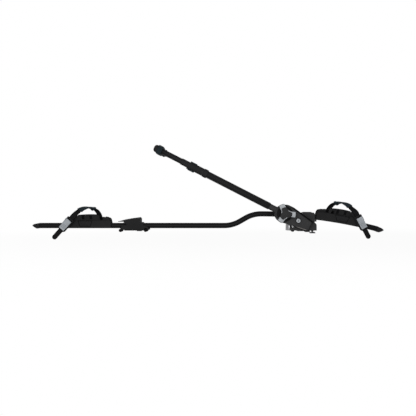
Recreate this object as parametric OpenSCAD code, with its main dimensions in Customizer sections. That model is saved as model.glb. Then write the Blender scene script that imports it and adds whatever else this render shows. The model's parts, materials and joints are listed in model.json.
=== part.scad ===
// Roof mounted bike carrier: bent tube rail, two strap trays, two load bar feet, folding clamp arm.
// Frame: X along the rail with the front tray at +X, Y across, Z up. Millimetres.
// Origin: on top of the front load bar, below the rail and on the line of the front T bolts.

/* [Rail] */
// Width of the rail tube, across the carrier
rail_w = 32; // [28:0.5:36]
// Height of the rail tube
rail_h = 22; // [20:0.5:24]
// Wall of the rail tube
rail_wall = 2.2; // [1.5:0.1:3.5]
// Height of the middle of the rear straight above the load bars
rail_low_z = 20.4; // [20:0.2:24]
// Lift of the swan neck
rail_rise = 48.6; // [44:0.2:54]
// Radius of both bends of the swan neck
bend_r = 130; // [110:5:150]
// Slope of the swan neck
bend_angle = 30; // [27:0.5:34]
// Middle of the swan neck
bend_x = -278; // [-310:1:-260]
// Radius of the long front sweep
sweep_r = 1880; // [1700:10:2200]
// Angle that the front sweep turns through
sweep_angle = 14.7; // [13:0.1:16]
// Rear end of the rail tube
rail_rear_x = -1119; // [-1180:1:-1110]
// Length of an end cap outside the tube
cap_len = 28; // [20:1:36]

/* [Wheel trays] */
// Gap between the rear foot and the rear tray
rear_tray_gap = 39; // [20:1:70]
// Gap between the rail clamp and the front tray
front_tray_gap = 7; // [5:0.5:40]
// Length of a tray
tray_len = 192; // [184:1:216]
// Width of the tray over its skirts
tray_w = 48; // [46:0.5:50]
// Width of the tray at the top of its humps
tray_top_w = 82; // [78:0.5:84]
// Top of the hump above the middle of the rail
hump_z = 46.8; // [45:0.2:50]
// Ledge of the tray above the middle of the rail
ledge_z = 23.6; // [22:0.2:25]
// Thickness of the tray walls and floor
tray_wall = 3.6; // [3:0.1:4.5]

/* [Straps and buckles] */
// Width of a strap
strap_w = 20; // [18:0.5:24]
// Thickness of a strap
strap_t = 2.6; // [2:0.1:3]
// Length of the strap below the middle of its buckle
tail_len = 62; // [50:1:75]
// Slope of the rear strap beside its tray
rear_strap_slope = 48.5; // [44:0.5:56]
// Slope of the front strap beside its tray
front_strap_slope = 53; // [44:0.5:56]
// Length of the buckle lever
buckle_len = 48; // [44:1:56]

/* [Front foot] */
// Length of the front foot along the rail
foot_len = 117; // [115:1:122]
// Half width of the front foot over its covers
foot_half_w = 83; // [78:0.5:90]
// Height of the front foot in front of the rail clamp
foot_h = 35; // [33:0.5:37]
// Thickness of the steel chassis strip
chassis_t = 3; // [2:0.25:4]
// Height of the chassis strip
chassis_h = 24; // [20:0.5:26]
// Distance of each front T bolt from the middle of the rail
t_bolt_y = 57; // [53:0.5:58]
// Width of the T heads, for a 20 mm slot
t_head_w = 20; // [18:0.5:21]
// Thickness of the front T heads
t_head_t = 5; // [4:0.25:6]
// Thread size of the front T bolts
t_bolt_d = 8; // [6:0.5:9]
// Thickness of the rubber below the feet
pad_t = 3; // [2.5:0.1:3.5]

/* [Rear foot] */
// Distance between the front and the rear T bolts
bar_spacing = 706.5; // [660:0.5:770]
// Rear foot behind its T head
saddle_back = 76.5; // [72:0.5:80]
// Lift of the draw yoke between open and closed
yoke_lift = 5; // [3:0.25:5.5]
// Length of the quick release lever from its pin
lever_len = 86.5; // [70:0.5:90]
// Diameter of the lever pin
lever_pin_d = 6; // [5:0.25:7]

/* [Clamp arm] */
// Angle of the arm above the rail in the photo
arm_angle = 27.1; // [24:0.1:40]
// Height of the arm hinge above the load bar
hinge_z = 30; // [29:0.5:31.5]
// Arm hinge behind the front T bolts
hinge_back = 43; // [40:0.5:46]
// Diameter of the hinge pin
hinge_d = 14; // [12:0.5:15]
// From the hinge to the middle of the knob
knob_at = 90; // [88:0.5:96]
// Thickness of the arm housing, across the carrier
housing_t = 50; // [48:0.5:54]
// Radius of the round end of the housing
housing_r = 35; // [33:0.5:37]
// Height of the square end of the housing
housing_end_h = 36; // [34:0.5:40]
// Depth of the outer arm profile
profile_h = 27.4; // [26.5:0.1:29]
// Width of the outer arm profile
profile_w = 34; // [32:0.5:36]
// Diameter of the inner tube
inner_d = 22; // [20:0.2:22.6]
// From the hinge to the lower jaw face
lower_face_at = 509; // [500:1:530]
// Clear gap between the jaw roots in the photo
jaw_open = 120; // [112:1:124]
// Travel of the upper jaw
jaw_travel = 78; // [50:1:80]
// Length of a jaw past the middle of the rail
jaw_reach = 45; // [35:1:55]
// Width of a jaw at its root
jaw_w = 36; // [32:0.5:38]
// Length of the lower jaw root along the arm
lower_root = 28; // [26:0.5:32]
// Length of the upper jaw root along the arm
upper_root = 19; // [18:0.5:24]
// Diameter of the cap on the tip of the arm
tip_d = 30; // [27:0.5:32]
// Thickness of the rubber pad in a jaw
jaw_pad_t = 9; // [6:0.25:9.5]
// Diameter of the lead screw
screw_d = 10; // [8:0.25:11]

/* [Knob and lock] */
// Radius over the lobes of the knob
knob_r = 38.4; // [36:0.2:40]
// Height of the knob
knob_h = 36; // [32:0.5:40]
// Radius of the bevel gears
bevel_r = 12; // [11:0.25:13]
// Teeth of each bevel gear
bevel_teeth = 16; // [12:2:20]
// Diameter of the lock
lock_d = 16.4; // [14:0.2:18]

/* [Fits] */
// Play of a turning or sliding part, each side
play = 0.1; // [0.05:0.01:0.2]
// Gap between fixed parts, each side
seat = 0.2; // [0.1:0.05:0.3]
// Gap between the rail and what slides on it
slide_gap = 0.3; // [0.3:0.05:0.5]

/* [Hidden] */
$fn = 48;
eps = 0.01;
bend_straight = (rail_rise - 2 * bend_r * (1 - cos(bend_angle))) / sin(bend_angle);
bend_run = 2 * bend_r * sin(bend_angle) + bend_straight * cos(bend_angle);
bend_in_x = bend_x - bend_run / 2;
sweep_x = bend_x + bend_run / 2;
rail_high_z = rail_low_z + rail_rise;
skirt_z = -rail_h / 2 + 2;
floor_z = rail_h / 2 + slide_gap + tray_wall;
strap_y = tray_top_w / 2 + 5;
buckle_at = [tray_len / 2 - 13, 5.6];
foot_front_x = 13;
foot_back_x = foot_front_x - foot_len - chassis_t;
cover_t = 3.4;
leg_y = foot_half_w - cover_t - seat;
core_y = leg_y - chassis_t - seat;
core_back = foot_back_x + 23;
return_y = 30 - leg_y;
hinge_x = -hinge_back;
clamp_x = [-36, 16];
clamp_z = 77;
split_z = rail_high_z - sweep_r * (1 - cos(asin(((clamp_x[0] + clamp_x[1]) / 2 - sweep_x) / sweep_r)));
rear_x = -bar_spacing;
rear_top = rail_low_z + rail_h / 2 + 3;
rear_tray_x = rear_x - saddle_back - rear_tray_gap - tray_len / 2;
front_tray_x = clamp_x[1] + front_tray_gap + tray_len / 2;
front_tilt = asin((front_tray_x - sweep_x) / sweep_r);
lever_pin_z = rear_top + 11.3 + slide_gap;
arm_y = -(foot_half_w + 2 + housing_t / 2);
profile_from = knob_at + 64;
profile_to = lower_face_at - lower_root - 45;
sleeve_to = lower_face_at + 35;
upper_face_at = lower_face_at + jaw_open;
nut_at = profile_to - jaw_travel - 12;
jaw_tip = -arm_y + jaw_reach;
bore_d = inner_d + 0.6;
taper = asin((housing_r - housing_end_h / 2) / (knob_at + 22));
release_at = [hinge_x - 39.5, 21];

rail_tube();
rear_end_cap();
front_end_cap();
front_foot_body();
foot_chassis();
foot_cover_near();
foot_cover_far();
rail_clamp_cap();
rail_clamp_screws();
front_bar_pad();
hinge_pin();
release_button();
t_bolt_near();
t_bolt_far();
hand_nut_near();
hand_nut_far();
front_tray();
front_strap();
front_strap_pad();
front_strap_anchor();
front_buckle_frame();
front_buckle_lever();
front_tray_latch();
rear_tray();
rear_strap();
rear_strap_pad();
rear_strap_anchor();
rear_buckle_frame();
rear_buckle_lever();
rear_tray_latch();
rear_foot_saddle();
rear_bar_pad();
draw_yoke();
lever_pin();
quick_release_lever();
arm_profile();
housing_outer();
housing_inner();
housing_screws();
hinge_bush();
screw_bearing();
jaw_sleeve();
lower_jaw();
lower_jaw_pad();
clamp_knob();
knob_grips();
knob_cap();
drive_shaft();
clutch_disc();
clutch_spring();
lead_screw();
inner_tube();
drive_nut();
upper_jaw();
upper_jaw_pad();
tip_cap();
lock_core();

// Shared shapes

// Flat sided oval, w wide and h high
module stadium(w, h) {
    square([w - h, h], center = true);
    for (s = [-1, 1]) translate([s * (w - h) / 2, 0]) circle(d = h, $fn = 32);
}

// Extrudes a section drawn as (Y, Z) along X
module along_x(x0, x1, z = 0) {
    translate([x0, 0, z]) rotate([90, 0, 90]) linear_extrude(x1 - x0) children();
}

// Extrudes a side view drawn as (X, Z) along Y
module along_y(y0, y1) {
    translate([0, y1, 0]) rotate([90, 0, 0]) linear_extrude(y1 - y0) children();
}

// Turns a section about a Y axis at (x, z), from angle a0 to a1
module turn_y(x, z, r, a0, a1) {
    translate([x, 0, z]) rotate([90, 0, 0]) rotate([0, 0, a0])
        rotate_extrude(angle = a1 - a0, $fn = 256) translate([r, 0]) rotate(90) children();
}

// Round bar along Y at (x, z)
module bar_y(x, z, d, y0, y1) {
    translate([x, y1, z]) rotate([90, 0, 0]) cylinder(d = d, h = y1 - y0);
}

// Round bar along X
module bar_x(x0, x1, d) {
    translate([x0, 0, 0]) rotate([0, 90, 0]) cylinder(d = d, h = x1 - x0);
}

module box(x, y, z) {
    translate([x[0], y[0], z[0]]) cube([x[1] - x[0], y[1] - y[0], z[1] - z[0]]);
}

function sweep_point(a) = [sweep_x + sweep_r * sin(a), 0, rail_high_z - sweep_r * (1 - cos(a))];

module on_front_tray() {
    translate(sweep_point(front_tilt)) rotate([0, front_tilt, 0]) children();
}

module on_rear_tray() {
    translate([rear_tray_x, 0, rail_low_z]) mirror([1, 0, 0]) children();
}

// The arm lies along -X from its hinge, raised by arm_angle
module on_arm() {
    translate([hinge_x, arm_y, hinge_z]) rotate([0, arm_angle, 0]) children();
}

module on_knob() {
    on_arm() translate([-knob_at, 0, 0]) children();
}

// Rail and end caps

// Outline of the rail as (Y, Z) points, round its two half circles
function rail_outline(grow = 0) = let (r = rail_h / 2 + grow)
    [for (s = [1, -1], a = [-90:22.5:90]) s * [(rail_w - rail_h) / 2 + r * cos(a), r * sin(a)]];

module rail_section(grow = 0) {
    stadium(rail_w + 2 * grow, rail_h + 2 * grow);
}

module front_rail_room(grow) {
    turn_y(sweep_x, rail_high_z - sweep_r, sweep_r, 89 - sweep_angle, 90) rail_section(grow);
}

module rear_rail_room(grow) {
    along_x(rail_rear_x - 60, bend_in_x, rail_low_z) rail_section(grow);
}

// Stations of the rail from rear to front as [x, z, slope]
function rail_stations(n = 7) = concat([[rail_rear_x, rail_low_z, 0]],
    [for (i = [0:n]) let (a = bend_angle * i / n)
        [bend_in_x + bend_r * sin(a), rail_low_z + bend_r * (1 - cos(a)), a]],
    [for (i = [n:-1:0]) let (a = bend_angle * i / n)
        [sweep_x - bend_r * sin(a), rail_high_z - bend_r * (1 - cos(a)), a]],
    [for (i = [1:2 * n]) let (a = sweep_angle * i / (2 * n), p = sweep_point(a)) [p[0], p[2], -a]]);

// One closed skin: outer rings, inner rings, and a flat ring at each end
module rail_tube() color("#1d1e20") {
    stations = rail_stations();
    n = len(rail_outline());
    m = len(stations) - 1;
    skin = function(grow) [for (s = stations, q = rail_outline(grow))
        [s[0] - q[1] * sin(s[2]), q[0], s[1] + q[1] * cos(s[2])]];
    inner = n * (m + 1);
    faces = [for (i = [0:m - 1], k = [0:n - 1]) let (a = n * i + k, b = n * i + (k + 1) % n)
        each [[a, b, b + n], [a, b + n, a + n], [b + inner, a + inner, b + n + inner],
            [b + n + inner, a + inner, a + n + inner]]];
    ends = [for (k = [0:n - 1]) let (a = k, b = (k + 1) % n, c = n * m + a, d = n * m + b)
        each [[b, a, b + inner], [a, a + inner, b + inner], [c, d, d + inner], [c, d + inner, c + inner]]];
    polyhedron(concat(skin(0), skin(-rail_wall)), concat(faces, ends), convexity = 8);
}

module cap_side() {
    h = rail_h / 2;
    polygon([[0, -h], [0.32 * cap_len, -h - 1.4], [0.5 * cap_len, -h - 1.4], [0.96 * cap_len, -1.6],
        [cap_len, 0.6], [0.97 * cap_len, 2.6], [0.88 * cap_len, 4.8], [0.7 * cap_len, 7], [0, h]]);
}

module end_cap() {
    intersection() {
        along_y(-rail_w / 2, rail_w / 2) cap_side();
        along_x(0, cap_len) stadium(rail_w, rail_h + 2.8);
    }
    along_x(-16, eps) rail_section(-rail_wall - seat);
}

module rear_end_cap() color("#161718")
    translate([rail_rear_x, 0, rail_low_z]) mirror([1, 0, 0]) end_cap();

module front_end_cap() color("#161718")
    translate(sweep_point(sweep_angle)) rotate([0, sweep_angle, 0]) end_cap();

// Wheel trays, drawn for the front end with the buckle at +X and on the near side

module tray_section() {
    w = tray_w / 2;
    t = tray_top_w / 2;
    difference() {
        polygon([[-w, skirt_z], [w, skirt_z], [w, ledge_z - 4], [w + 2, ledge_z - 1.5], [w + 2, ledge_z],
            [t, hump_z + 2], [-t, hump_z + 2], [-w - 2, ledge_z], [-w - 2, ledge_z - 1.5], [-w, ledge_z - 4]]);
        polygon([[-w + 6, floor_z], [w - 6, floor_z], [w - 1, ledge_z], [t - tray_wall, hump_z + 3],
            [tray_wall - t, hump_z + 3], [1 - w, ledge_z]]);
    }
}

module tray_side() {
    l = tray_len / 2;
    shoulder = hump_z - 9.6;
    low = ledge_z - 1;
    polygon([[-l, skirt_z], [l, skirt_z], [l, low - 13], [l - 3, ledge_z], [3 - l, ledge_z], [-l, low - 13]]);
    for (s = [-1, 1]) polygon([[s * (l - 33), low], [s * (l - 31), shoulder], [s * (l - 22), shoulder - 1],
        [s * (l - 9.5), shoulder - 5.5], [s * (l - 5), shoulder - 10], [s * (l - 3.2), low]]);
    intersection() {
        polygon([[-43, low], [53.2, low], [34.5, hump_z - 2.5], [31, hump_z + 2], [-37, hump_z + 2]]);
        translate([0, hump_z - 360]) circle(r = 360, $fn = 360);
    }
}

module latch_side(grow = 0) {
    polygon([[-18.7 - grow, ledge_z - 3.4 + grow], [38 + grow, ledge_z - 3.4 + grow],
        [29.5 + grow, -2 - grow], [-10.2 - grow, -2 - grow]]);
}

module tray_body() {
    y = tray_w / 2;
    difference() {
        intersection() {
            along_x(-tray_len / 2, tray_len / 2) tray_section();
            along_y(-tray_top_w, tray_top_w) tray_side();
        }
        for (s = [-1, 1]) box([s * 15.7 - 5, s * 15.7 + 5], [-60, 60], [ledge_z + 2.5, hump_z - 5]);
        box([-60, -28], [y - 4, 60], [ledge_z - 5, 70]);
        along_y(-y - 1, -y + 5) latch_side(0.5);
        box([4, 15], [-y, -rail_w / 2 + 4], [2, 9]);
    }
    bx = buckle_at[0] - 12 * cos(50);
    bz = buckle_at[1] + 12 * sin(50);
    bar_y(bx, bz, 15, -strap_y + 5 + seat, -y + 1);
}

module latch() {
    y = tray_w / 2;
    z = ledge_z - 3.4 - 2.4;
    difference() {
        along_y(-y - 0.2, -y + 4.6) latch_side();
        box([-30, 50], [-y - 1, -y + 6], [z, z + 4]);
        for (x = [[-30, -16.6], [35.9, 50]]) box(x, [-y - 1, -y + 6], [z - 8, z + 1]);
        along_y(-y - 0.3, -y + 1) translate([9.5, 2]) stadium(20, 5);
    }
    translate([-17, -y + 2.4, z]) bar_x(0, 53, 4.8);
    box([5, 14], [-y + 4, -rail_w / 2 - slide_gap], [3, 8]);
}

module front_tray() color("#232427") difference() {
    on_front_tray() tray_body();
    front_rail_room(slide_gap);
}

module rear_tray() color("#232427") difference() {
    on_rear_tray() tray_body();
    rear_rail_room(slide_gap);
}

module front_tray_latch() color("#2b2c2f") on_front_tray() latch();

module rear_tray_latch() color("#2b2c2f") on_rear_tray() latch();

// Straps: a ribbon along a spline whose face turns over the tyre

// Control points as [x, y, z, turn]: turn is the angle of the face, 0 far side, 90 up, 180 near side
function strap_points(slope) = let (
        far = tray_w / 2 + strap_t / 2 + slide_gap,
        b = function(t) [buckle_at[0] + t * cos(slope), -strap_y, buckle_at[1] - t * sin(slope), 180]
    ) [[-44, far, -6, 0], [-44, far, 2, 0], [-44, far + 0.1, 14, 0], [-43.5, far + 3.5, 27, 8],
        [-38, far + 2, 46, 30], [-26, 19, 64, 58], [-2, 0, hump_z + 28.5, 90], [21, -20, hump_z + 23.3, 124],
        [40, -39, hump_z + 9.4, 160], b(-47), b(-38), b(-12), b(14), b(tail_len * 0.6), b(tail_len)];

// Spline through four neighbours at share t of the middle span
function spline(a, b, c, d, t) = 0.5 * (2 * b + (c - a) * t + (2 * a - 5 * b + 4 * c - d) * t * t
    + (3 * b - a - 3 * c + d) * t * t * t);

function strap_at(p, u) = let (n = len(p) - 1, i = min(floor(u), n - 1))
    spline(p[max(i - 1, 0)], p[i], p[i + 1], p[min(i + 2, n)], u - i);

function xyz(v) = [v[0], v[1], v[2]];

// Corners of the ribbon at u, w wide and with its faces at heights lo and hi
function strap_ring(p, u, w, lo, hi) = let (
        q = strap_at(p, u),
        ahead = xyz(strap_at(p, min(u + 0.05, len(p) - 1))),
        along = (ahead - xyz(strap_at(p, max(u - 0.05, 0)))) / norm(ahead - xyz(strap_at(p, max(u - 0.05, 0)))),
        face = [0, cos(q[3]), sin(q[3])],
        side = cross(face, along) / norm(cross(face, along)),
        up = cross(along, side),
        edge = w / 2 * side,
        c = xyz(q)
    ) [c + edge + lo * up, c + edge + hi * up, c - edge + hi * up, c - edge + lo * up];

module ribbon(p, u0, u1, steps, w, lo, hi) {
    rings = [for (i = [0:steps]) each strap_ring(p, u0 + (u1 - u0) * i / steps, w, lo, hi)];
    last = 4 * steps;
    sides = [for (i = [0:steps - 1], k = [0:3]) let (a = 4 * i + k, b = 4 * i + (k + 1) % 4)
        each [[b, a, a + 4], [b, a + 4, b + 4]]];
    ends = [[0, 1, 2], [0, 2, 3], [last + 2, last + 1, last], [last + 3, last + 2, last]];
    polyhedron(rings, concat(sides, ends), convexity = 6);
}

module strap(slope) {
    p = strap_points(slope);
    n = len(p) - 1;
    ribbon(p, 0, n, 56, strap_w, -strap_t / 2, strap_t / 2);
    bar_y(p[n][0], p[n][2], strap_w, -strap_y - strap_t / 2, -strap_y + strap_t / 2);
}

// Sleeve on the strap's own stations: each ring has four outer and then four inner corners
module strap_pad(slope) {
    p = strap_points(slope);
    steps = 9;
    last = 8 * steps;
    rings = [for (i = [0:steps]) let (u = 5.25 + 0.25 * i) each concat(
        strap_ring(p, u, strap_w + 5, -strap_t / 2 - 2.4, strap_t / 2 + 1.6),
        strap_ring(p, u, strap_w + 0.8, -strap_t / 2 - 0.4, strap_t / 2 + 0.4))];
    sides = [for (i = [0:steps - 1], k = [0:3]) let (a = 8 * i + k, b = 8 * i + (k + 1) % 4)
        each [[b, a, a + 8], [b, a + 8, b + 8], [a + 4, b + 4, a + 12], [a + 12, b + 4, b + 12]]];
    ends = [for (a = [0:3]) let (b = (a + 1) % 4)
        each [[a, b, b + 4], [a, b + 4, a + 4],
            [last + b, last + a, last + a + 4], [last + b, last + a + 4, last + b + 4]]];
    polyhedron(rings, concat(sides, ends), convexity = 6);
}

// Clamp bar that holds the strap end on the far side
module strap_anchor() {
    y = tray_w / 2 + strap_t + 2 * slide_gap;
    reach = strap_w / 2 + 5;
    along_y(y, y + 3) translate([-44, 3]) stadium(2 * reach + 9, 9);
    for (s = [-1, 1]) bar_y(-44 + s * reach, 3, 5, tray_w / 2, y + 4.4);
}

module on_buckle(slope) {
    translate([buckle_at[0], -strap_y, buckle_at[1]]) rotate([0, slope, 0]) children();
}

// Buckle frame: x down the strap, y towards the tray
module buckle_frame(slope) {
    lip = strap_t / 2 + 0.6;
    difference() {
        on_buckle(slope) {
            along_y(lip, lip + 3) union() {
                translate([-3, 0]) square([58, strap_w + 12], center = true);
                translate([20, 0]) circle(d = strap_w + 12);
            }
            for (s = [-1, 1]) translate([0, 0, s * (strap_w / 2 + 2.6) - 1.8]) linear_extrude(3.6)
                polygon([[-27, lip + 1], [-27, -2], [-18.6, -8], [-5, -8], [-5, lip + 1]]);
            box([-32, -28.5], [-lip - 2.4, -lip], [-strap_w / 2 - 4.4, strap_w / 2 + 4.4]);
            for (s = [-1, 1]) box([-32, -28.5], [-lip - 2.4, lip + 1],
                [s * (strap_w / 2 + 2.6) - 1.8, s * (strap_w / 2 + 2.6) + 1.8]);
        }
        on_buckle(slope) translate([-17, -4.9, -40]) cylinder(d = 4.6 + 2 * play, h = 80);
    }
}

module buckle_lever(slope) on_buckle(slope) {
    w = strap_w + 5;
    difference() {
        union() {
            along_y(-12, -8.6) union() {
                square([buckle_len - 5, w], center = true);
                square([buckle_len, w - 5], center = true);
                for (i = [-1, 1], k = [-1, 1])
                    translate([i * (buckle_len / 2 - 2.5), k * (w / 2 - 2.5)]) circle(r = 2.5);
            }
            box([-20, -14], [-9, -4.9], [-strap_w / 2, strap_w / 2]);
            translate([-17, -4.9, -strap_w / 2]) cylinder(d = 6, h = strap_w);
            translate([-17, -4.9, -strap_w / 2 - 4]) cylinder(d = 4.6, h = strap_w + 8);
        }
        for (k = [0:2]) box([2 + 6 * k, 4.4 + 6 * k], [-13, -11.2], [-w / 2 + 5, w / 2 - 5]);
    }
}

module front_strap() color("#151618") on_front_tray() strap(front_strap_slope);

module front_strap_pad() color("#39414a") on_front_tray() strap_pad(front_strap_slope);

module front_strap_anchor() color("#202124") on_front_tray() strap_anchor();

module front_buckle_frame() color("#1b1c1e") on_front_tray() buckle_frame(front_strap_slope);

module front_buckle_lever() color("#9a9ea3") on_front_tray() buckle_lever(front_strap_slope);

module rear_strap() color("#151618") on_rear_tray() strap(rear_strap_slope);

module rear_strap_pad() color("#39414a") on_rear_tray() strap_pad(rear_strap_slope);

module rear_strap_anchor() color("#202124") on_rear_tray() strap_anchor();

module rear_buckle_frame() color("#1b1c1e") on_rear_tray() buckle_frame(rear_strap_slope);

module rear_buckle_lever() color("#9a9ea3") on_rear_tray() buckle_lever(rear_strap_slope);

// Front foot

module foot_side(grow = 0) {
    b = foot_back_x + chassis_t;
    f = foot_front_x - 1.5 + grow;
    polygon([[b, pad_t], [f, pad_t], [f, foot_h - 11], [f - 4, foot_h - 4 + grow], [f - 11, foot_h + grow],
        [hinge_x + 20, foot_h + grow], [hinge_x + 10, hinge_z + 13 + grow], [hinge_x - 12, hinge_z + 13 + grow],
        [hinge_x - 28, hinge_z + 2], [b, hinge_z - 1]]);
}

// Plan of the chassis strip and of what it encloses: rounded at the rear corners
module foot_plan(back, half, r) {
    front = foot_front_x + 2;
    translate([back + r, -half]) square([front - back - r, 2 * half]);
    translate([back, r - half]) square([front - back, 2 * (half - r)]);
    for (s = [-1, 1]) translate([back + r, s * (half - r)]) circle(r = r);
}

module release_shape(grow = 0) {
    polygon([for (a = [-90, 30, 150]) [(8 + 2 * grow) * cos(a), (8 + 2 * grow) * sin(a)]]);
}

module release_room(y0, y1, grow) {
    translate([release_at[0], 0, release_at[1]]) along_y(y0, y1) release_shape(grow);
}

// Core: only its near part fills the bend of the chassis
module core_plan() {
    translate([core_back, -core_y]) square([foot_front_x + 2 - core_back, core_y + leg_y]);
    intersection() {
        foot_plan(foot_back_x + chassis_t + seat, core_y, 11);
        translate([foot_back_x, -foot_half_w]) square([60, return_y + foot_half_w - 1]);
    }
}

module front_foot_body() color("#1a1b1d") {
    difference() {
        union() {
            intersection() {
                linear_extrude(90) core_plan();
                along_y(-core_y - 1, leg_y + 1) foot_side();
            }
            box(clamp_x, [-27, 27], [foot_h - 2, split_z - seat / 2]);
        }
        front_rail_room(seat);
        for (s = [-1, 1]) {
            box([core_back + 5, -17], s > 0 ? [9, t_bolt_y - 4] : [4 - t_bolt_y, -9], [pad_t - 1, foot_h - 8]);
            translate([0, s * t_bolt_y, -1]) cylinder(d = t_bolt_d + 1, h = foot_h + 20);
        }
        for (x = [clamp_x[0] + 7, clamp_x[1] - 7], s = [-1, 1])
            translate([x, s * 21.7, split_z - 18]) cylinder(d = 5 + 2 * play, h = 30);
        bar_y(hinge_x, hinge_z, hinge_d + 2 * play, -core_y - 1, -core_y + 18);
        release_room(-core_y - 1, -core_y + 5, 0.7);
    }
}

module foot_chassis() color("#b9bcc0") {
    difference() {
        union() {
            translate([0, 0, pad_t + 0.4]) linear_extrude(chassis_h) difference() {
                foot_plan(foot_back_x, leg_y, 14);
                foot_plan(foot_back_x + chassis_t, leg_y - chassis_t, 14 - chassis_t);
                translate([4, -100]) square([40, 200]);
                translate([foot_back_x - 10, return_y]) square([200, 200]);
            }
            bar_y(hinge_x, hinge_z, 26, -leg_y, chassis_t - leg_y);
        }
        bar_y(hinge_x, hinge_z, hinge_d + 2 * play, -leg_y - 1, -core_y);
        release_room(-leg_y - 1, -core_y, 0.7);
    }
}

module cover_side(b) {
    f = foot_front_x;
    difference() {
        union() {
            translate([b, 1]) square([f - b, foot_h - 13]);
            translate([b + 8, 1]) square([f - b - 20, foot_h - 1]);
            translate([f - 12, foot_h - 12]) circle(r = 12);
            translate([b + 8, foot_h - 8]) circle(r = 8);
            translate([hinge_x, hinge_z]) circle(r = 15);
        }
        translate([b - 10, -20]) square([f - b + 20, 20 + pad_t]);
    }
}

module foot_cover_near() color("#202124") difference() {
    along_y(-foot_half_w, -foot_half_w + cover_t) cover_side(foot_back_x + 12);
    bar_y(hinge_x, hinge_z, hinge_d + 2 * play, -foot_half_w - 1, -leg_y);
    release_room(-foot_half_w - 1, -leg_y, 0.4);
}

module foot_cover_far() color("#202124") along_y(foot_half_w - cover_t, foot_half_w) cover_side(core_back);

module release_button() color("#a9adb1") release_room(-foot_half_w - 1, -core_y + 1, 0);

module rail_clamp_cap() color("#1f2022") difference() {
    along_y(-27, 27) polygon([[clamp_x[0], split_z + seat / 2], [clamp_x[1], split_z + seat / 2],
        [clamp_x[1], clamp_z - 9], [clamp_x[1] - 3, clamp_z - 3], [clamp_x[1] - 12, clamp_z - 2],
        [clamp_x[1] - 14, clamp_z], [clamp_x[0] + 14, clamp_z],
        [clamp_x[0] + 4, clamp_z - 3], [clamp_x[0], clamp_z - 8]]);
    front_rail_room(seat);
    for (x = [clamp_x[0] + 7, clamp_x[1] - 7], s = [-1, 1]) {
        translate([x, s * 21.7, split_z - 10]) cylinder(d = 5 + 2 * play, h = 40);
        translate([x, s * 21.7, clamp_z - 9]) cylinder(d = 9.4, h = 20);
    }
}

module rail_clamp_screws() color("#8d9195")
    for (x = [clamp_x[0] + 7, clamp_x[1] - 7], s = [-1, 1]) translate([x, s * 21.7, 0]) {
        translate([0, 0, split_z - 17]) cylinder(d = 5, h = clamp_z - 9 - split_z + 18);
        difference() {
            translate([0, 0, clamp_z - 9]) cylinder(d = 9, h = 4.5);
            translate([0, 0, clamp_z - 7]) cylinder(d = 4.6, h = 5, $fn = 6);
        }
    }

module front_bar_pad() color("#17181a") {
    difference() {
        box([hinge_x - 19, foot_front_x - 1], [-core_y, core_y], [0, pad_t]);
        for (s = [-1, 1]) box([-t_head_w / 2 - 4, foot_front_x],
            s > 0 ? [t_bolt_y - 17, core_y + 1] : [-core_y - 1, 17 - t_bolt_y], [-1, pad_t + 1]);
        for (s = [-1, 1]) box([-50, -26], s > 0 ? [12, 34] : [-34, -12], [-1, pad_t + 1]);
    }
    intersection() {
        bar_y(core_back + 3, pad_t + 0.4, 12, -core_y + 4, return_y - 3);
        box([core_back - 12, core_back + 18], [-foot_half_w, 0], [-10, pad_t]);
    }
}

module hinge_pin() color("#8d9195") bar_y(hinge_x, hinge_z, hinge_d, arm_y - housing_t / 2 + 5, -core_y + 16);

module t_bolt() {
    cylinder(d = t_bolt_d, h = foot_h + 12);
    difference() {
        translate([0, 0, -3.8 - t_head_t]) translate([-t_head_w / 2, -13, 0]) cube([t_head_w, 26, t_head_t]);
        for (s = [-1, 1]) translate([0, s * 13, -20]) rotate([0, 0, 45]) cube([5, 5, 60], center = true);
    }
    translate([0, 0, -4]) cylinder(d = t_bolt_d, h = 5);
}

module t_bolt_near() color("#2b2c2e") translate([0, -t_bolt_y, 0]) t_bolt();

module t_bolt_far() color("#2b2c2e") translate([0, t_bolt_y, 0]) t_bolt();

// Hand nut with five shallow lobes
module hand_nut() {
    difference() {
        translate([0, 0, foot_h + slide_gap]) union() {
            cylinder(d = 20, h = 4);
            translate([0, 0, 3]) linear_extrude(11) difference() {
                circle(d = 34);
                for (a = [0:72:359]) rotate(a) translate([22, 0]) circle(d = 14);
            }
        }
        cylinder(d = t_bolt_d + 2 * play, h = 99);
    }
}

module hand_nut_near() color("#26272a") translate([0, -t_bolt_y, 0]) hand_nut();

module hand_nut_far() color("#26272a") translate([0, t_bolt_y, 0]) hand_nut();

// Rear foot with its cam lever and draw yoke

yoke_leg = [rail_w / 2 + slide_gap + 0.8, rail_w / 2 + slide_gap + 3.8];
yoke_w = 16;

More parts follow.
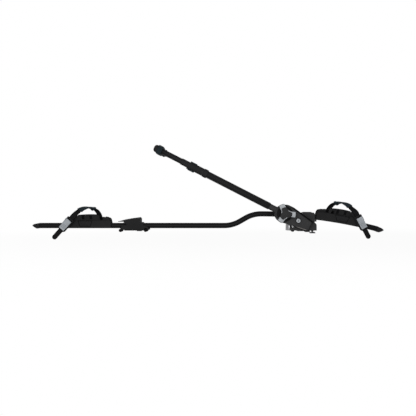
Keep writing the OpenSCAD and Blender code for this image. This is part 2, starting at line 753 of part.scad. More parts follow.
module rear_foot_saddle() color("#1f2022") {
    half = yoke_leg[1] + 4;
    x = rear_x;
    difference() {
        union() {
            along_y(-half, half) polygon([[x - saddle_back, pad_t], [x + 41.5, pad_t], [x + 41.5, 9],
                [x + 35, 17], [x + 20, 21], [x + 16, rear_top], [x - 38, rear_top], [x - 46, 24],
                [x - 69, 20], [x - saddle_back, 12]]);
            along_y(-half, half) polygon([[x + 7.4, 24], [x + 7.4, lever_pin_z + 4.6], [x + 4, lever_pin_z + 6],
                [x - 30, lever_pin_z + 1.6], [x - 55, lever_pin_z - 2.8], [x - 62, lever_pin_z - 5],
                [x - 63, rear_top - 1], [x - 46, 22]]);
        }
        rear_rail_room(slide_gap);
        box([x - 80, x + 20], [-yoke_leg[1] - 0.4, yoke_leg[1] + 0.4], [rear_top, 90]);
        for (s = [-1, 1]) box([x - yoke_w / 2 - 0.4, x + yoke_w / 2 + 0.4],
            s > 0 ? [yoke_leg[0] - 0.4, yoke_leg[1] + 0.4] : [-yoke_leg[1] - 0.4, 0.4 - yoke_leg[0]], [-1, 60]);
        box([x - yoke_w / 2 - 0.4, x + yoke_w / 2 + 0.4],
            [-yoke_leg[1] - 0.4, yoke_leg[1] + 0.4], [-1, rail_low_z]);
        bar_y(x - saddle_back, 0.6, 13.2, -half - 1, half + 1);
        bar_y(x + 27.5, 2.8, 16.6, -half - 1, half + 1);
    }
}

module rear_bar_pad() color("#17181a") {
    half = yoke_leg[1] + 3.5;
    x = rear_x;
    difference() {
        box([x - 60, x + 16.6], [-half, half], [0, pad_t]);
        box([x - t_head_w / 2 - 3, x + t_head_w / 2 + 3], [-half + 2.8, half - 2.8], [-1, pad_t + 1]);
    }
    bar_y(x - saddle_back, 0.6, 12.8, -half, half);
    difference() {
        bar_y(x + 27.5, 2.8, 16.2, -half, half);
        rear_rail_room(slide_gap);
    }
}

module draw_yoke() color("#a4a8ac") {
    bar = rail_low_z - rail_h / 2 - 0.4;
    difference() {
        union() {
            for (s = [-1, 1]) {
                y0 = s > 0 ? yoke_leg[0] : -yoke_leg[1];
                box([rear_x - yoke_w / 2, rear_x + yoke_w / 2], [y0, y0 + 3], [bar - 4, lever_pin_z]);
                bar_y(rear_x, lever_pin_z, yoke_w, y0, y0 + 3);
            }
            box([rear_x - yoke_w / 2, rear_x + yoke_w / 2], [-yoke_leg[1], yoke_leg[1]], [bar - 4, bar]);
            box([rear_x - 4.6, rear_x + 4.6], [-9, 9], [2, bar - 3]);
            box([rear_x - t_head_w / 2 + 0.5, rear_x + t_head_w / 2 - 0.5], [-13, 13], [-2.5, 2.5]);
        }
        bar_y(rear_x, lever_pin_z, lever_pin_d + 2 * play, -40, 40);
    }
}

module lever_pin() color("#c3c6c9")
    bar_y(rear_x, lever_pin_z, lever_pin_d, -yoke_leg[1], yoke_leg[1]);

// Cam lever: the eccentric round end lets the pin sink as the lever opens
module quick_release_lever() color("#232427") {
    half = yoke_leg[0] - 0.5;
    drop = rear_top + 2 - lever_pin_z;
    off = yoke_lift / (cos(40) - cos(135));
    translate([rear_x, 0, lever_pin_z]) difference() {
        along_y(-half, half) union() {
            translate(-off * [sin(40), cos(40)]) circle(r = 11.3 - off * cos(40));
            polygon([[5.6, 7.4], [3.6, 9.2], [0, 9], [-30, 4.8], [-55, 0.4], [-lever_len + 6, drop + 2.8],
                [-lever_len, drop + 2.2], [-lever_len, drop], [-70, drop + 0.2], [-40, drop + 1],
                [-24, drop + 2.5], [-9, -6], [5.6, 0]]);
        }
        bar_y(0, 0, lever_pin_d + 2 * play, -50, 50);
        box([-64, -16], [-half + 5, half - 5], [-20, -3]);
    }
}

// Clamp arm: x runs along the arm, with the tip at -X

function housing_half(s) = housing_r / cos(taper) - s * tan(taper);

module housing_side(inset = 0) {
    end = knob_at + 22 - inset;
    r = housing_r - inset;
    top = housing_half(knob_at + 22 - inset) - inset / cos(taper);
    translate([-knob_at, 0]) {
        circle(r = r);
        polygon([[r * sin(taper), r * cos(taper)], [end - 3, top + 0.4], [end, top - 3], [end, 3 - top],
            [end - 3, -top - 0.4], [r * sin(taper), -r * cos(taper)]]);
    }
}

housing_screw_at = [[-55, 17], [-55, -17], [10.5, -10.5], [-knob_at - 18, 21], [-knob_at - 18, -21]];

module housing_solid() {
    half = housing_t / 2;
    difference() {
        union() {
            difference() {
                union() {
                    along_y(-half + 3, half - 3) housing_side();
                    along_y(-half, half) housing_side(2.2);
                }
                along_y(-half + 4, half - 4) housing_side(4.2);
            }
            along_x(-profile_from + seat, -knob_at - housing_r + 4) stadium(profile_w - 4, profile_h - 4);
            along_x(-profile_from - 36, -profile_from + 1) circle(d = bore_d - 2 * seat);
            bar_y(0, 0, 28, -half + 1, half - 1);
            bar_y(-knob_at + 60.8, 0, lock_d + 6, -half + 1, 0);
            bar_y(-knob_at, 0, 20, -half + 1, -bevel_r - 3);
            along_x(-knob_at - housing_r + 2, -knob_at - bevel_r - 3) circle(d = 24);
            for (p = housing_screw_at) bar_y(p[0], p[1], 9, -half + 2, half - 2);
        }
        bar_x(-profile_from - 40, -knob_at, screw_d + 1.2);
        bar_x(-knob_at - housing_r + 1, -knob_at - bevel_r - 9, screw_d + 8);
        bar_x(-knob_at - bevel_r - 9.2, -knob_at, screw_d + 6);
        bar_y(-knob_at, 0, 12 + 2 * play, -half - 1, 0);
        bar_y(-knob_at + 60.8, 0, lock_d + 2 * play, -half - 1, -half + 15);
        bar_y(0, 0, hinge_d + 6, -half + 4.5, half + 1);
        for (p = housing_screw_at) {
            bar_y(p[0], p[1], 4 + 2 * play, -half + 6, half + 1);
            bar_y(p[0], p[1], 8, half - 3.5, half + 1);
        }
    }
}

module housing_outer() color("#1c1d1f") on_arm() intersection() {
    housing_solid();
    box([-profile_from - 60, 60], [-housing_t, -seat / 4], [-2 * housing_r, 2 * housing_r]);
}

module housing_inner() color("#1c1d1f") on_arm() intersection() {
    housing_solid();
    box([-profile_from - 60, 60], [seat / 4, housing_t], [-2 * housing_r, 2 * housing_r]);
}

module housing_screws() color("#8d9195") on_arm() for (p = housing_screw_at) {
    bar_y(p[0], p[1], 4, -housing_t / 2 + 7, housing_t / 2 - 2);
    difference() {
        bar_y(p[0], p[1], 7.4, housing_t / 2 - 3.5, housing_t / 2 - 0.8);
        translate([p[0], housing_t / 2, p[1]]) rotate([90, 0, 0]) cylinder(d = 3.6, h = 2.4, $fn = 6);
    }
}

module hinge_bush() color("#6f7479") on_arm() difference() {
    union() {
        bar_y(0, 0, hinge_d + 6 - 2 * seat, -housing_t / 2 + 5, housing_t / 2);
        bar_y(0, 0, hinge_d + 11, housing_t / 2 + seat, housing_t / 2 + 1.6);
        bar_y(0, 0, hinge_d + 5, housing_t / 2 - 1, housing_t / 2 + 1);
    }
    bar_y(0, 0, hinge_d + 2 * play, -housing_t, housing_t);
}

module screw_bearing() color("#b08a4a") on_arm() difference() {
    bar_x(-knob_at - housing_r + 1.4, -knob_at - bevel_r - 9.4, screw_d + 8 - 2 * seat);
    bar_x(-knob_at - housing_r, -knob_at, screw_d + 2 * play);
}

module arm_profile() color("#25272a") on_arm() difference() {
    along_x(-profile_to, -profile_from) difference() {
        stadium(profile_w, profile_h);
        circle(d = bore_d);
        for (s = [-1, 1]) translate([s * (profile_w / 2 + 0.9), 1.5]) circle(d = 4.6);
    }
}

// Socket at the end of the profile that guides the inner tube and carries the lower jaw
module jaw_sleeve() color("#1b1c1e") on_arm() difference() {
    ring = -profile_to + 7;
    union() {
        along_x(ring - 17, ring) stadium(profile_w + 6, profile_h + 6);
        along_x(-lower_face_at + lower_root, ring - 16) stadium(profile_w + 3, profile_h + 2.6);
        bar_x(-sleeve_to, -lower_face_at + lower_root + 1, bore_d + 3);
    }
    bar_x(-sleeve_to - 1, 0, bore_d);
    along_x(-profile_to - seat, ring + 1) stadium(profile_w + 2 * seat, profile_h + 2 * seat);
}

// Jaw seen along the tube it grips: face at x = 0, root block from y = near, hook at far y
module jaw_shape(root, near) {
    tip = jaw_tip;
    polygon([[0, near], [root, near], [root, 17], [root - 4, 30], [root - 6, 70], [root - 8, tip - 25],
        [9, tip - 6], [2, tip], [-6, tip + 1], [-10, tip - 3], [-10, tip - 8], [-6, tip - 11], [0, tip - 14]]);
}

// Narrows a jaw, w wide at its root, towards its hook
module claw(w) {
    intersection() {
        children();
        along_x(-60, 60) polygon([[-20, -w / 2], [30, -w / 2], [jaw_tip + 2, 5 - w / 5],
            [jaw_tip + 2, 5 + w / 5], [30, w / 2], [-20, w / 2]]);
    }
}

module jaw_pad_shape() {
    a = -arm_y - 46;
    b = jaw_tip - 15;
    difference() {
        translate([-jaw_pad_t, a]) square([jaw_pad_t - seat, b - a]);
        translate([-jaw_pad_t - 148, (a + b) / 2]) circle(r = 151, $fn = 180);
    }
}

// Stands a shape drawn as (x, y) across the arm, w deep
module across_arm(w) {
    translate([0, 0, -w / 2]) linear_extrude(w) children();
}

module lower_jaw() color("#1a1b1d") on_arm() difference() {
    translate([-lower_face_at, 0, 0]) claw(jaw_w) across_arm(jaw_w + 2) jaw_shape(lower_root - seat, 0);
    bar_x(-lower_face_at - 20, 0, bore_d + 3 + 2 * seat);
    translate([-lower_face_at + 10, 42, -3]) cube([40, 66, 10]);
}

module lower_jaw_pad() color("#343b42") on_arm()
    translate([-lower_face_at, 0, 0]) claw(jaw_w + 0.8) across_arm(jaw_w + 2) jaw_pad_shape();

module upper_jaw() color("#1a1b1d") on_arm() difference() {
    translate([-upper_face_at, 0, 0]) mirror([1, 0, 0])
        claw(jaw_w) across_arm(jaw_w + 2) jaw_shape(upper_root, -17);
    bar_x(-upper_face_at - 60, 0, inner_d + 2 * play);
    translate([-upper_face_at - 47, 42, -3]) cube([40, 66, 10]);
}

module upper_jaw_pad() color("#343b42") on_arm()
    translate([-upper_face_at, 0, 0]) mirror([1, 0, 0]) claw(jaw_w + 0.8) across_arm(jaw_w + 2) jaw_pad_shape();

module inner_tube() color("#2a2c2f") on_arm() difference() {
    bar_x(-upper_face_at - upper_root, -nut_at, inner_d);
    bar_x(-upper_face_at - upper_root - 1, -nut_at + 1, inner_d - 4);
}

module drive_nut() color("#b08a4a") on_arm() difference() {
    bar_x(-nut_at - 26, -nut_at, inner_d - 4 - 2 * play);
    bar_x(-nut_at - 27, -nut_at + 1, screw_d + 2 * play);
}

module tip_cap() color("#161718") on_arm() translate([-upper_face_at - upper_root, 0, 0]) rotate([0, -90, 0]) {
    r = tip_d / 2;
    rotate_extrude() polygon([[0, 0.2], [r, 0.2], [r, 6], [r - 0.7, 9.6], [r - 2.6, 12.9], [r - 6, 15.4],
        [r - 10.5, 16.5], [0, 16.6]]);
    translate([0, 0, -14]) cylinder(d = inner_d - 4 - 2 * seat, h = 15);
}

// Knob, clutch and bevel drive; -Y is the top of the knob

knob_base = -housing_t / 2 - 0.8;
lobe_at = [for (a = [-6, 114, 234]) a + arm_angle];
scallop_r = 43.4;

// Round plan cut by three scallops, r over the lobes
module knob_plan(r) {
    difference() {
        circle(r = r);
        for (a = lobe_at) rotate(a + 60) translate([62, 0]) circle(r = scallop_r, $fn = 96);
    }
}

module grip_plan(grow = 0) {
    intersection() {
        knob_plan(knob_r - 0.4 + 0.4 * (grow > 0 ? 1 : 0));
        difference() {
            circle(r = knob_r + 2);
            circle(r = 25 - grow);
        }
    }
    for (a = lobe_at) rotate(a + 60) intersection() {
        difference() {
            translate([62, 0]) circle(r = scallop_r + 4.2 + grow, $fn = 96);
            translate([62, 0]) circle(r = scallop_r + 1.2 - grow, $fn = 96);
        }
        rotate(-38) translate([12, -4]) square([22 + grow, 14 + grow]);
    }
}

module clamp_knob() color("#1f2023") on_knob() difference() {
    union() {
        along_y(knob_base - 6, knob_base) circle(r = 31);
        along_y(knob_base - knob_h + 5, knob_base - 5) knob_plan(knob_r);
    }
    along_y(knob_base - knob_h, knob_base - knob_h + 16) grip_plan(0.15);
    along_y(knob_base - 20, knob_base + 1) circle(d = 30);
    along_y(knob_base - knob_h, knob_base) circle(d = 8.4);
}

module knob_grips() color("#a2a6aa") on_knob()
    along_y(knob_base - knob_h + 3.4, knob_base - knob_h + 15.9) grip_plan();

module knob_cap() color("#141517") on_knob() {
    top = knob_base - knob_h;
    intersection() {
        along_y(top, top + 4.8) difference() {
            knob_plan(24.6);
            grip_plan(0.2);
        }
        translate([0, top + 5, 0]) rotate([90, 0, 0]) cylinder(r1 = 30, r2 = 17, h = 5);
    }
    along_y(top + 2, top + 12) circle(d = 8);
}

// Straight bevel teeth that run out at the apex, the large end at z = bevel_r
module bevel_gear(turn) {
    m = bevel_r / bevel_teeth * 2;
    tooth = 360 / bevel_teeth;
    inner = 0.58;
    translate([0, 0, bevel_r]) mirror([0, 0, 1])
        linear_extrude(bevel_r * (1 - inner), scale = inner) rotate(turn)
        polygon([for (k = [0:bevel_teeth - 1], j = [0:3]) let (
                a = k * tooth + [-0.31, -0.13, 0.13, 0.31][j] * tooth,
                r = bevel_r + [-0.75, 0.55, 0.55, -0.75][j] * m
            ) r * [cos(a), sin(a)]]);
}

module drive_shaft() color("#9b9fa3") on_knob() {
    rotate([90, 0, 0]) bevel_gear(0);
    bar_y(0, 0, 12, knob_base - 19, -bevel_r + 0.5);
}

module clutch_disc() color("#b08a4a") on_knob() difference() {
    along_y(knob_base - 9, knob_base - 1) difference() {
        circle(d = 29.4);
        for (a = [0:45:359]) rotate(a) translate([14.7, 0]) circle(d = 3);
    }
    bar_y(0, 0, 12 + 2 * play, -90, 0);
}

module clutch_spring() color("#b9bcc0") on_knob() difference() {
    union() {
        bar_y(0, 0, 28, knob_base - 19.6, knob_base - 17.4);
        for (k = [0:2]) bar_y(0, 0, 26 - 2 * (k % 2), knob_base - 17.6 + 2.6 * k, knob_base - 14.6 + 2.6 * k);
    }
    bar_y(0, 0, 12 + 2 * play, -90, 0);
}

module lead_screw() color("#aeb2b6") on_knob() {
    rotate([0, -90, 0]) bevel_gear(180 / bevel_teeth);
    bar_x(-(nut_at + 40 - knob_at), -bevel_r + 0.5, screw_d);
    bar_x(-bevel_r - 8.6, -bevel_r + 0.2, screw_d + 5);
}

module lock_core() color("#b4b8bb") on_knob() translate([60.8, 0, 0]) difference() {
    bar_y(0, 0, lock_d, -housing_t / 2 - 1.2, -housing_t / 2 + 14);
    box([-0.8, 0.8], [-housing_t, -housing_t / 2 + 6], [-4.5, 4.5]);
}
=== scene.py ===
"""Looks of a roof mounted bike carrier: skins, straps, pads, finishes and a plain studio.

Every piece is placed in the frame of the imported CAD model, in metres.
"""

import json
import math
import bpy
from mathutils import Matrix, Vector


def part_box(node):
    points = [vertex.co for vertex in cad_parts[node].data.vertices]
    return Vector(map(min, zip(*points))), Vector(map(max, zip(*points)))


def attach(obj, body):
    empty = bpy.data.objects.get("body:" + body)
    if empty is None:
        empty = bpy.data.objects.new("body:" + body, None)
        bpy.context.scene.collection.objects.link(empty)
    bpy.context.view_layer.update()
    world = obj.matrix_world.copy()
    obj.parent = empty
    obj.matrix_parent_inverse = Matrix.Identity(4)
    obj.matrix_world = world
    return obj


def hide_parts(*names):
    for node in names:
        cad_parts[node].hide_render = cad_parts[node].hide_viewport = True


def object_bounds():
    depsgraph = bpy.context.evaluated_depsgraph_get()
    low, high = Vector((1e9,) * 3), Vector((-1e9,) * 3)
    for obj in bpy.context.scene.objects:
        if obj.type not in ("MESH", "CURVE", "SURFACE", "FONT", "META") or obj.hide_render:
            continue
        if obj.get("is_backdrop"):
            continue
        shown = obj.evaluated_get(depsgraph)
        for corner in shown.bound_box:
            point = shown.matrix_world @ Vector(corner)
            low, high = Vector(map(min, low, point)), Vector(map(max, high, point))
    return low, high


bl_info = {
    "name": "Roof Bike Carrier",
    "version": (1, 0, 0),
    "blender": (4, 5, 0),
    "location": "View3D > Sidebar > Carrier",
    "description": "Skins, straps, pads, finishes and studio for the packed roof bike carrier",
    "category": "Object",
}

import bpy
import numpy as np
from bpy.props import FloatProperty, FloatVectorProperty, PointerProperty
from mathutils import Vector

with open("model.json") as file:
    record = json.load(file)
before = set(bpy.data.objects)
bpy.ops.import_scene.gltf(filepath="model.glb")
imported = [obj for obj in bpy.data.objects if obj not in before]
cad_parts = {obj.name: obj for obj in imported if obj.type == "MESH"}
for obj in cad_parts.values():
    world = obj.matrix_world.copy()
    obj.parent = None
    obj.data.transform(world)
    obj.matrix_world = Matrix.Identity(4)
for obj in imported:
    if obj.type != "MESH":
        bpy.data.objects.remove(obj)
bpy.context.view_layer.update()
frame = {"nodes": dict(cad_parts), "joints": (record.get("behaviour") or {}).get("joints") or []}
NODES = frame["nodes"]
JOINTS = {j["name"]: j for j in frame["joints"]}

# Sizes shared with the CAD source, in metres and radians

# Rail: section, straight run, swan neck and front sweep
RAIL_W, RAIL_H, RAIL_WALL = 0.032, 0.022, 0.0022
RAIL_REAR_X, RAIL_LOW_Z, RAIL_RISE = -1.119, 0.0204, 0.0486
BEND_R, BEND_ANGLE, BEND_X = 0.130, math.radians(30), -0.278
SWEEP_R, SWEEP_ANGLE = 1.880, math.radians(14.7)
BEND_STRAIGHT = (RAIL_RISE - 2 * BEND_R * (1 - math.cos(BEND_ANGLE))) / math.sin(BEND_ANGLE)
BEND_RUN = 2 * BEND_R * math.sin(BEND_ANGLE) + BEND_STRAIGHT * math.cos(BEND_ANGLE)
SWEEP_X = BEND_X + BEND_RUN / 2
RAIL_HIGH_Z = RAIL_LOW_Z + RAIL_RISE

# Trays: places on the rail, then walls, windows and latch in a tray's own frame
REAR_TRAY_X, FRONT_TRAY_X = -0.918, 0.119
FRONT_TILT = math.asin((FRONT_TRAY_X - SWEEP_X) / SWEEP_R)
FRONT_TRAY_Z = RAIL_HIGH_Z - SWEEP_R * (1 - math.cos(FRONT_TILT))
TRAY_HALF, HUMP_Z, HUMP_ARC = 0.024, 0.0468, 0.360
TRAY_TOP_HALF, TRAY_WALL, LEDGE_Z = 0.041, 0.0036, 0.0236
WINDOW_X, WINDOW_HALF = 0.0157, 0.0072
LATCH_TOP, LATCH_TOP_FROM, LATCH_TOP_TO = 0.0202, -0.0187, 0.038
LATCH_LOW, LATCH_LOW_FROM, LATCH_LOW_TO = -0.002, -0.0102, 0.0295

# Straps, in a tray's own frame
STRAP_W, STRAP_T, STRAP_Y, STRAP_GAP = 0.020, 0.0026, 0.046, 0.0003
BUCKLE_X, BUCKLE_Z = 0.083, 0.0056
FRONT_TAIL, REAR_TAIL = 0.062, 0.068
FRONT_SLOPE, REAR_SLOPE = math.radians(53), math.radians(48.5)

# Arm and jaws, in the arm's own frame
HINGE = np.array(JOINTS["arm_fold"]["pos_m"])
ARM_ANGLE = math.radians(27.1)
LOWER_FACE, JAW_OPEN, JAW_PAD_T = 0.509, 0.120, 0.009
JAW_PAD_FROM, JAW_PAD_TO, JAW_PAD_R = 0.064, 0.140, 0.151
JAW_PAD_W, CLAW_FROM, CLAW_TO, CLAW_RISE = 0.0368, 0.030, 0.157, 0.005

# Housing and lock, in the arm's own frame
KNOB_X, HOUSING_R, HOUSING_HALF_T = -0.090, 0.035, 0.025
HOUSING_END_X, HOUSING_END_H = 0.022, 0.036
LOCK_X, LOCK_D = -0.0292, 0.0164

# Feet and their rubbers
PAD_T, FOOT_PAD_BACK, RIDGE_X, RIDGE_TO = 0.003, -0.062, -0.081, -0.0524
BOLT_CLEAR, T_HEAD_HALF, REAR_X, SADDLE_BACK = 0.040, 0.010, -0.7065, 0.0765

# Sizes of the scene's own pieces

# Tray details: low wall ends at the strap slot and at the buckle, window webs, and a latch seam of painted
# shadow
WING_ROOT, WING_SLOT_END, WING_BUCKLE_END, WING_ROUND = 0.038, -0.0515, 0.066, 0.006
STEEP_X, STEEP_Z, STEEP_SLOPE = 0.046, 0.0434, 1.2
GENTLE_X, GENTLE_Z, GENTLE_SLOPE = 0.041, 0.0372, 0.26
WING_SLOT_SUNK, WING_BUCKLE_SUNK, WING_FOOT_SUNK = 0.0002, 0.0004, 0.0015
WEB_NEAR, WEB_FAR, WEB_ABOVE_LEDGE, WEB_BELOW_HUMP = 0.0001, 0.0016, 0.0008, 0.0030
SHADOW_SEAM_GAP, SHADOW_SEAM_W, SHADOW_SEAM_T, SHADOW_SEAM_SUNK = 0.0014, 0.0017, 0.0006, 0.0001

# Strap ribs: from and to are counted in control points; they fade out before the tail and the edges
RIBS_FROM, RIBS_FULL, RIB_POWER, RIB_SUNK = 8.3, 8.6, 0.6, 0.0002
TAIL_BARE, TAIL_FADE, EDGE_BARE, EDGE_FADE = 0.006, 0.004, 0.0025, 0.001

# Strap sleeve: from and to are counted in control points; keeper, lip and rounding are shares of its half
SLEEVE_FROM, SLEEVE_TO, SLEEVE_ROUND, SLEEVE_ROUND_T = 5.25, 7.5, 0.03, 0.0012
SLEEVE_OVER_W, SLEEVE_OVER_T, SLEEVE_CLEAR, SLEEVE_IN = 0.005, 0.004, 0.0008, 0.0004
KEEPER_T, KEEPER_AT, KEEPER_HALF = 0.0017, -0.86, 0.14
LIP_T, LIP_AT, LIP_HALF = 0.0008, 0.94, 0.04

# Rubbers below the feet: round ends, laps, gaps at the bolts, and the places and diameters of their lips
PAD_ROUND, PAD_LAP, RAIL_CLEAR = 0.001, 0.001, 0.0006
BOLT_GAP, RIDGE_UP, RIDGE_D, RIDGE_IN = 0.004, 0.0004, 0.012, 0.004
YOKE_GAP, REAR_PAD_BACK, REAR_PAD_FRONT, REAR_PAD_SIDE = 0.003, 0.060, 0.0166, 0.0028
BACK_LIP_Z, BACK_LIP_D = 0.0006, 0.0128
FRONT_LIP_X, FRONT_LIP_Z, FRONT_LIP_D = 0.0275, 0.0028, 0.0162

# Jaw facings
HOLLOW_LEAST, FACING_LEAST, FACING_PROUD, FACING_ROUND, CLAW_TAPER = 0.003, 0.002, 0.0002, 0.03, 0.6

# Housing rim, a black strip of painted shade; sill, a pale strip of painted highlight; and lock bezel
SHADE_RIM_NEAR, SHADE_RIM_FAR, SHADE_RIM_T, SHADE_RIM_END_T = -0.0165, 0.0205, 0.0066, 0.0022
SHADE_RIM_LEAST, SHADE_RIM_SUNK, SHADE_RIM_FROM, SHADE_RIM_GROWTH, SHADE_RIM_TO, SHADE_RIM_THINNING = 0.0004, 0.0012, 0.004, 0.035, 0.138, 0.012
HIGHLIGHT_SILL_FROM, HIGHLIGHT_SILL_TO, HIGHLIGHT_SILL_W, HIGHLIGHT_SILL_T = -0.024, 0.017, 0.0025, 0.0021
HIGHLIGHT_SILL_IN, HIGHLIGHT_SILL_BELOW, HIGHLIGHT_SILL_ROUND, HIGHLIGHT_SILL_ROUND_T = 0.0004, 0.0002, 0.12, 0.0016
CORNER_R, CORNER_UP, END_SHARE = 0.003, 0.0004, 0.86
BEZEL_W, BEZEL_T, BEZEL_OUT, BEZEL_PROUD = 0.0026, 0.0016, 0.0017, 0.0001

# Rounding of edges that isn't the moulded one
CAP_EDGE, TRAY_EDGE, SHELL_EDGE, GRIP_EDGE = 0.0012, 0.0009, 0.001, 0.0008
EXTRUSION_EDGE, METAL_EDGE, FINE_EDGE = 0.0005, 0.0004, 0.0003

# Welding, flattening and bevelling of a CAD node as it is drawn
WELD_WITHIN, FLAT_WITHIN, SHARP_FROM, BEVEL_STEPS = 2e-6, math.radians(0.6), math.radians(32), 2

# Steps along curves
RAIL_STEP, BEND_STEPS, SWEEP_STEPS, OVAL_STEPS = 0.012, 24, 60, 25
STRAP_STEPS, TAIL_STEPS, SLEEVE_STEPS = 620, 14, 90

# Studio
CAMERA_AT, CAMERA_LENS, SENSOR_W = (-0.422, -2.2, 0.0932), 45.8, 36
LAMPS_AIM = (-0.42, 0, 0.1)
FRONT_LAMP_AT, FRONT_LAMP_SIZE = (-0.7, -3.1, 0.38), (2.4, 0.36)
BACK_LAMP_AT, BACK_LAMP_SIZE = (-0.2, 3.1, 0.45), (3.2, 1.4)
FLOOR_X, FLOOR_HOLE, FLOOR_R, FLOOR_RINGS, FLOOR_SPOKES = -0.4, 0.02, 9.0, 20, 96
WHITE = (1, 1, 1, 1)


# Settings


def colour(label, words, value):
    """A colour setting."""
    return FloatVectorProperty(
        name=label, description=words, subtype="COLOR", size=3, min=0, max=1, default=value)


def length(label, words, value):
    """A length setting, in metres."""
    return FloatProperty(name=label, description=words, unit="LENGTH", min=0, precision=5, default=value)


def power(label, words, value):
    """A setting for a lamp's power, in watts."""
    return FloatProperty(name=label, description=words, unit="POWER", min=0, default=value)


def share(label, words, value):
    """A setting from 0 to 1."""
    return FloatProperty(name=label, description=words, subtype="FACTOR", min=0, max=1, default=value)


class CarrierColours(bpy.types.PropertyGroup):
    moulding: colour(
        "Moulding", "Grained black plastic of trays, feet, housing and knob", (0.0345, 0.0345, 0.0352))
    smooth: colour(
        "Smooth moulding", "Plain black plastic of caps, latches and buckle frames",
        (0.0175, 0.0175, 0.0182))
    coat: colour("Powder coat", "Coat of the rail", (0.0060, 0.0060, 0.0063))
    anodised: colour("Anodised", "Arm profile and inner tube", (0.0062, 0.0062, 0.0065))
    # Also the colour of the latch seams, lines of painted shadow
    strap: colour("Strap", "Wheel straps, window webs and latch seams", (0.0052, 0.0052, 0.0056))
    jaw: colour("Jaw coat", "Rubber coat of both jaws", (0.0100, 0.0150, 0.0175))
    grey: colour("Grey moulding", "Buckle levers", (0.27, 0.29, 0.31))
    pale: colour("Pale moulding", "Knob grips and lock", (0.31, 0.325, 0.34))
    # Much paler than the button's own grey: painted light that offsets the housing's shadow over it
    button: colour("Button", "Release button of the arm", (0.90, 0.92, 0.94))
    # Pale strip colour: a painted highlight for light caught by the housing's lower edge
    sill: colour("Sill", "Pale strip along the housing's lower edge", (0.15, 0.14, 0.132))
    facing: colour(
        "Facing rubber", "Blue grey rubber of jaw facings and strap sleeves", (0.016, 0.023, 0.0275))
    # Also the colour of the housing rim, a strip of painted shade
    foot: colour("Foot rubber", "Black rubber of feet, housing rim and bezel", (0.0035, 0.0035, 0.0038))
    zinc: colour("Zinc", "Zinc plated steel", (0.25, 0.25, 0.258))
    steel: colour("Steel", "Turned steel", (0.42, 0.43, 0.45))
    black_steel: colour("Black steel", "Black plated bolts and draw yoke", (0.030, 0.030, 0.032))
    bronze: colour("Bronze", "Sintered bronze", (0.40, 0.27, 0.12))


class CarrierSizes(bpy.types.PropertyGroup):
    edge: length("Edge", "Rounding of moulded edges", 0.0007)
    grain: length("Grain", "Grain of the moulded plastic", 0.0008)
    rib_pitch: length("Strap rib pitch", "From one strap rib to the next", 0.005)
    rib_height: length("Strap rib height", "How far the strap ribs stand out", 0.0005)
    facing_pitch: length("Facing groove pitch", "From one jaw facing groove to the next", 0.0065)
    facing_depth: length("Facing groove depth", "Depth of the jaw facing grooves", 0.0008)
    pad_pitch: length("Pad groove pitch", "From one groove below a foot to the next", 0.006)
    pad_depth: length("Pad groove depth", "Depth of the grooves below a foot", 0.0009)
    floor_gap: length("Floor gap", "Floor below the lowest point", 0.0005)


class CarrierStudio(bpy.types.PropertyGroup):
    front: power("Front lamp", "Power of the lamp before the carrier", 85)
    back: power("Back lamp", "Power of the lamp behind it", 60)
    ambient: share("Ambient", "Strength of the surrounding light", 0.20)
    backdrop: share("Backdrop", "Share of the floor shown as plain white", 0.95)


# Shader maths

# Sockets of a Mix node that mixes colours
MIX_SHARE, MIX_LOW, MIX_HIGH, MIX_COLOUR = 0, 6, 7, 2


class Value:
    """A shader socket; arithmetic on it adds Math nodes."""

    def __init__(self, finish, socket):
        self.finish, self.socket = finish, socket

    def math(self, operation, *terms):
        return self.finish.node("ShaderNodeMath", {"operation": operation}, dict(enumerate(terms)))

    def __add__(self, other):
        return self.math("ADD", self, other)

    def __sub__(self, other):
        return self.math("SUBTRACT", self, other)

    def __rsub__(self, other):
        return self.math("SUBTRACT", other, self)

    def __mul__(self, other):
        return self.math("MULTIPLY", self, other)

    __radd__, __rmul__ = __add__, __mul__

    def most(self, other):
        return self.math("MAXIMUM", self, other)

    def between(self, low, high):
        """Smooth step from 0 at low to 1 at high."""
        return self.finish.node(
            "ShaderNodeMapRange", {"interpolation_type": "SMOOTHSTEP"},
            {"Value": self, "From Min": low, "From Max": high})


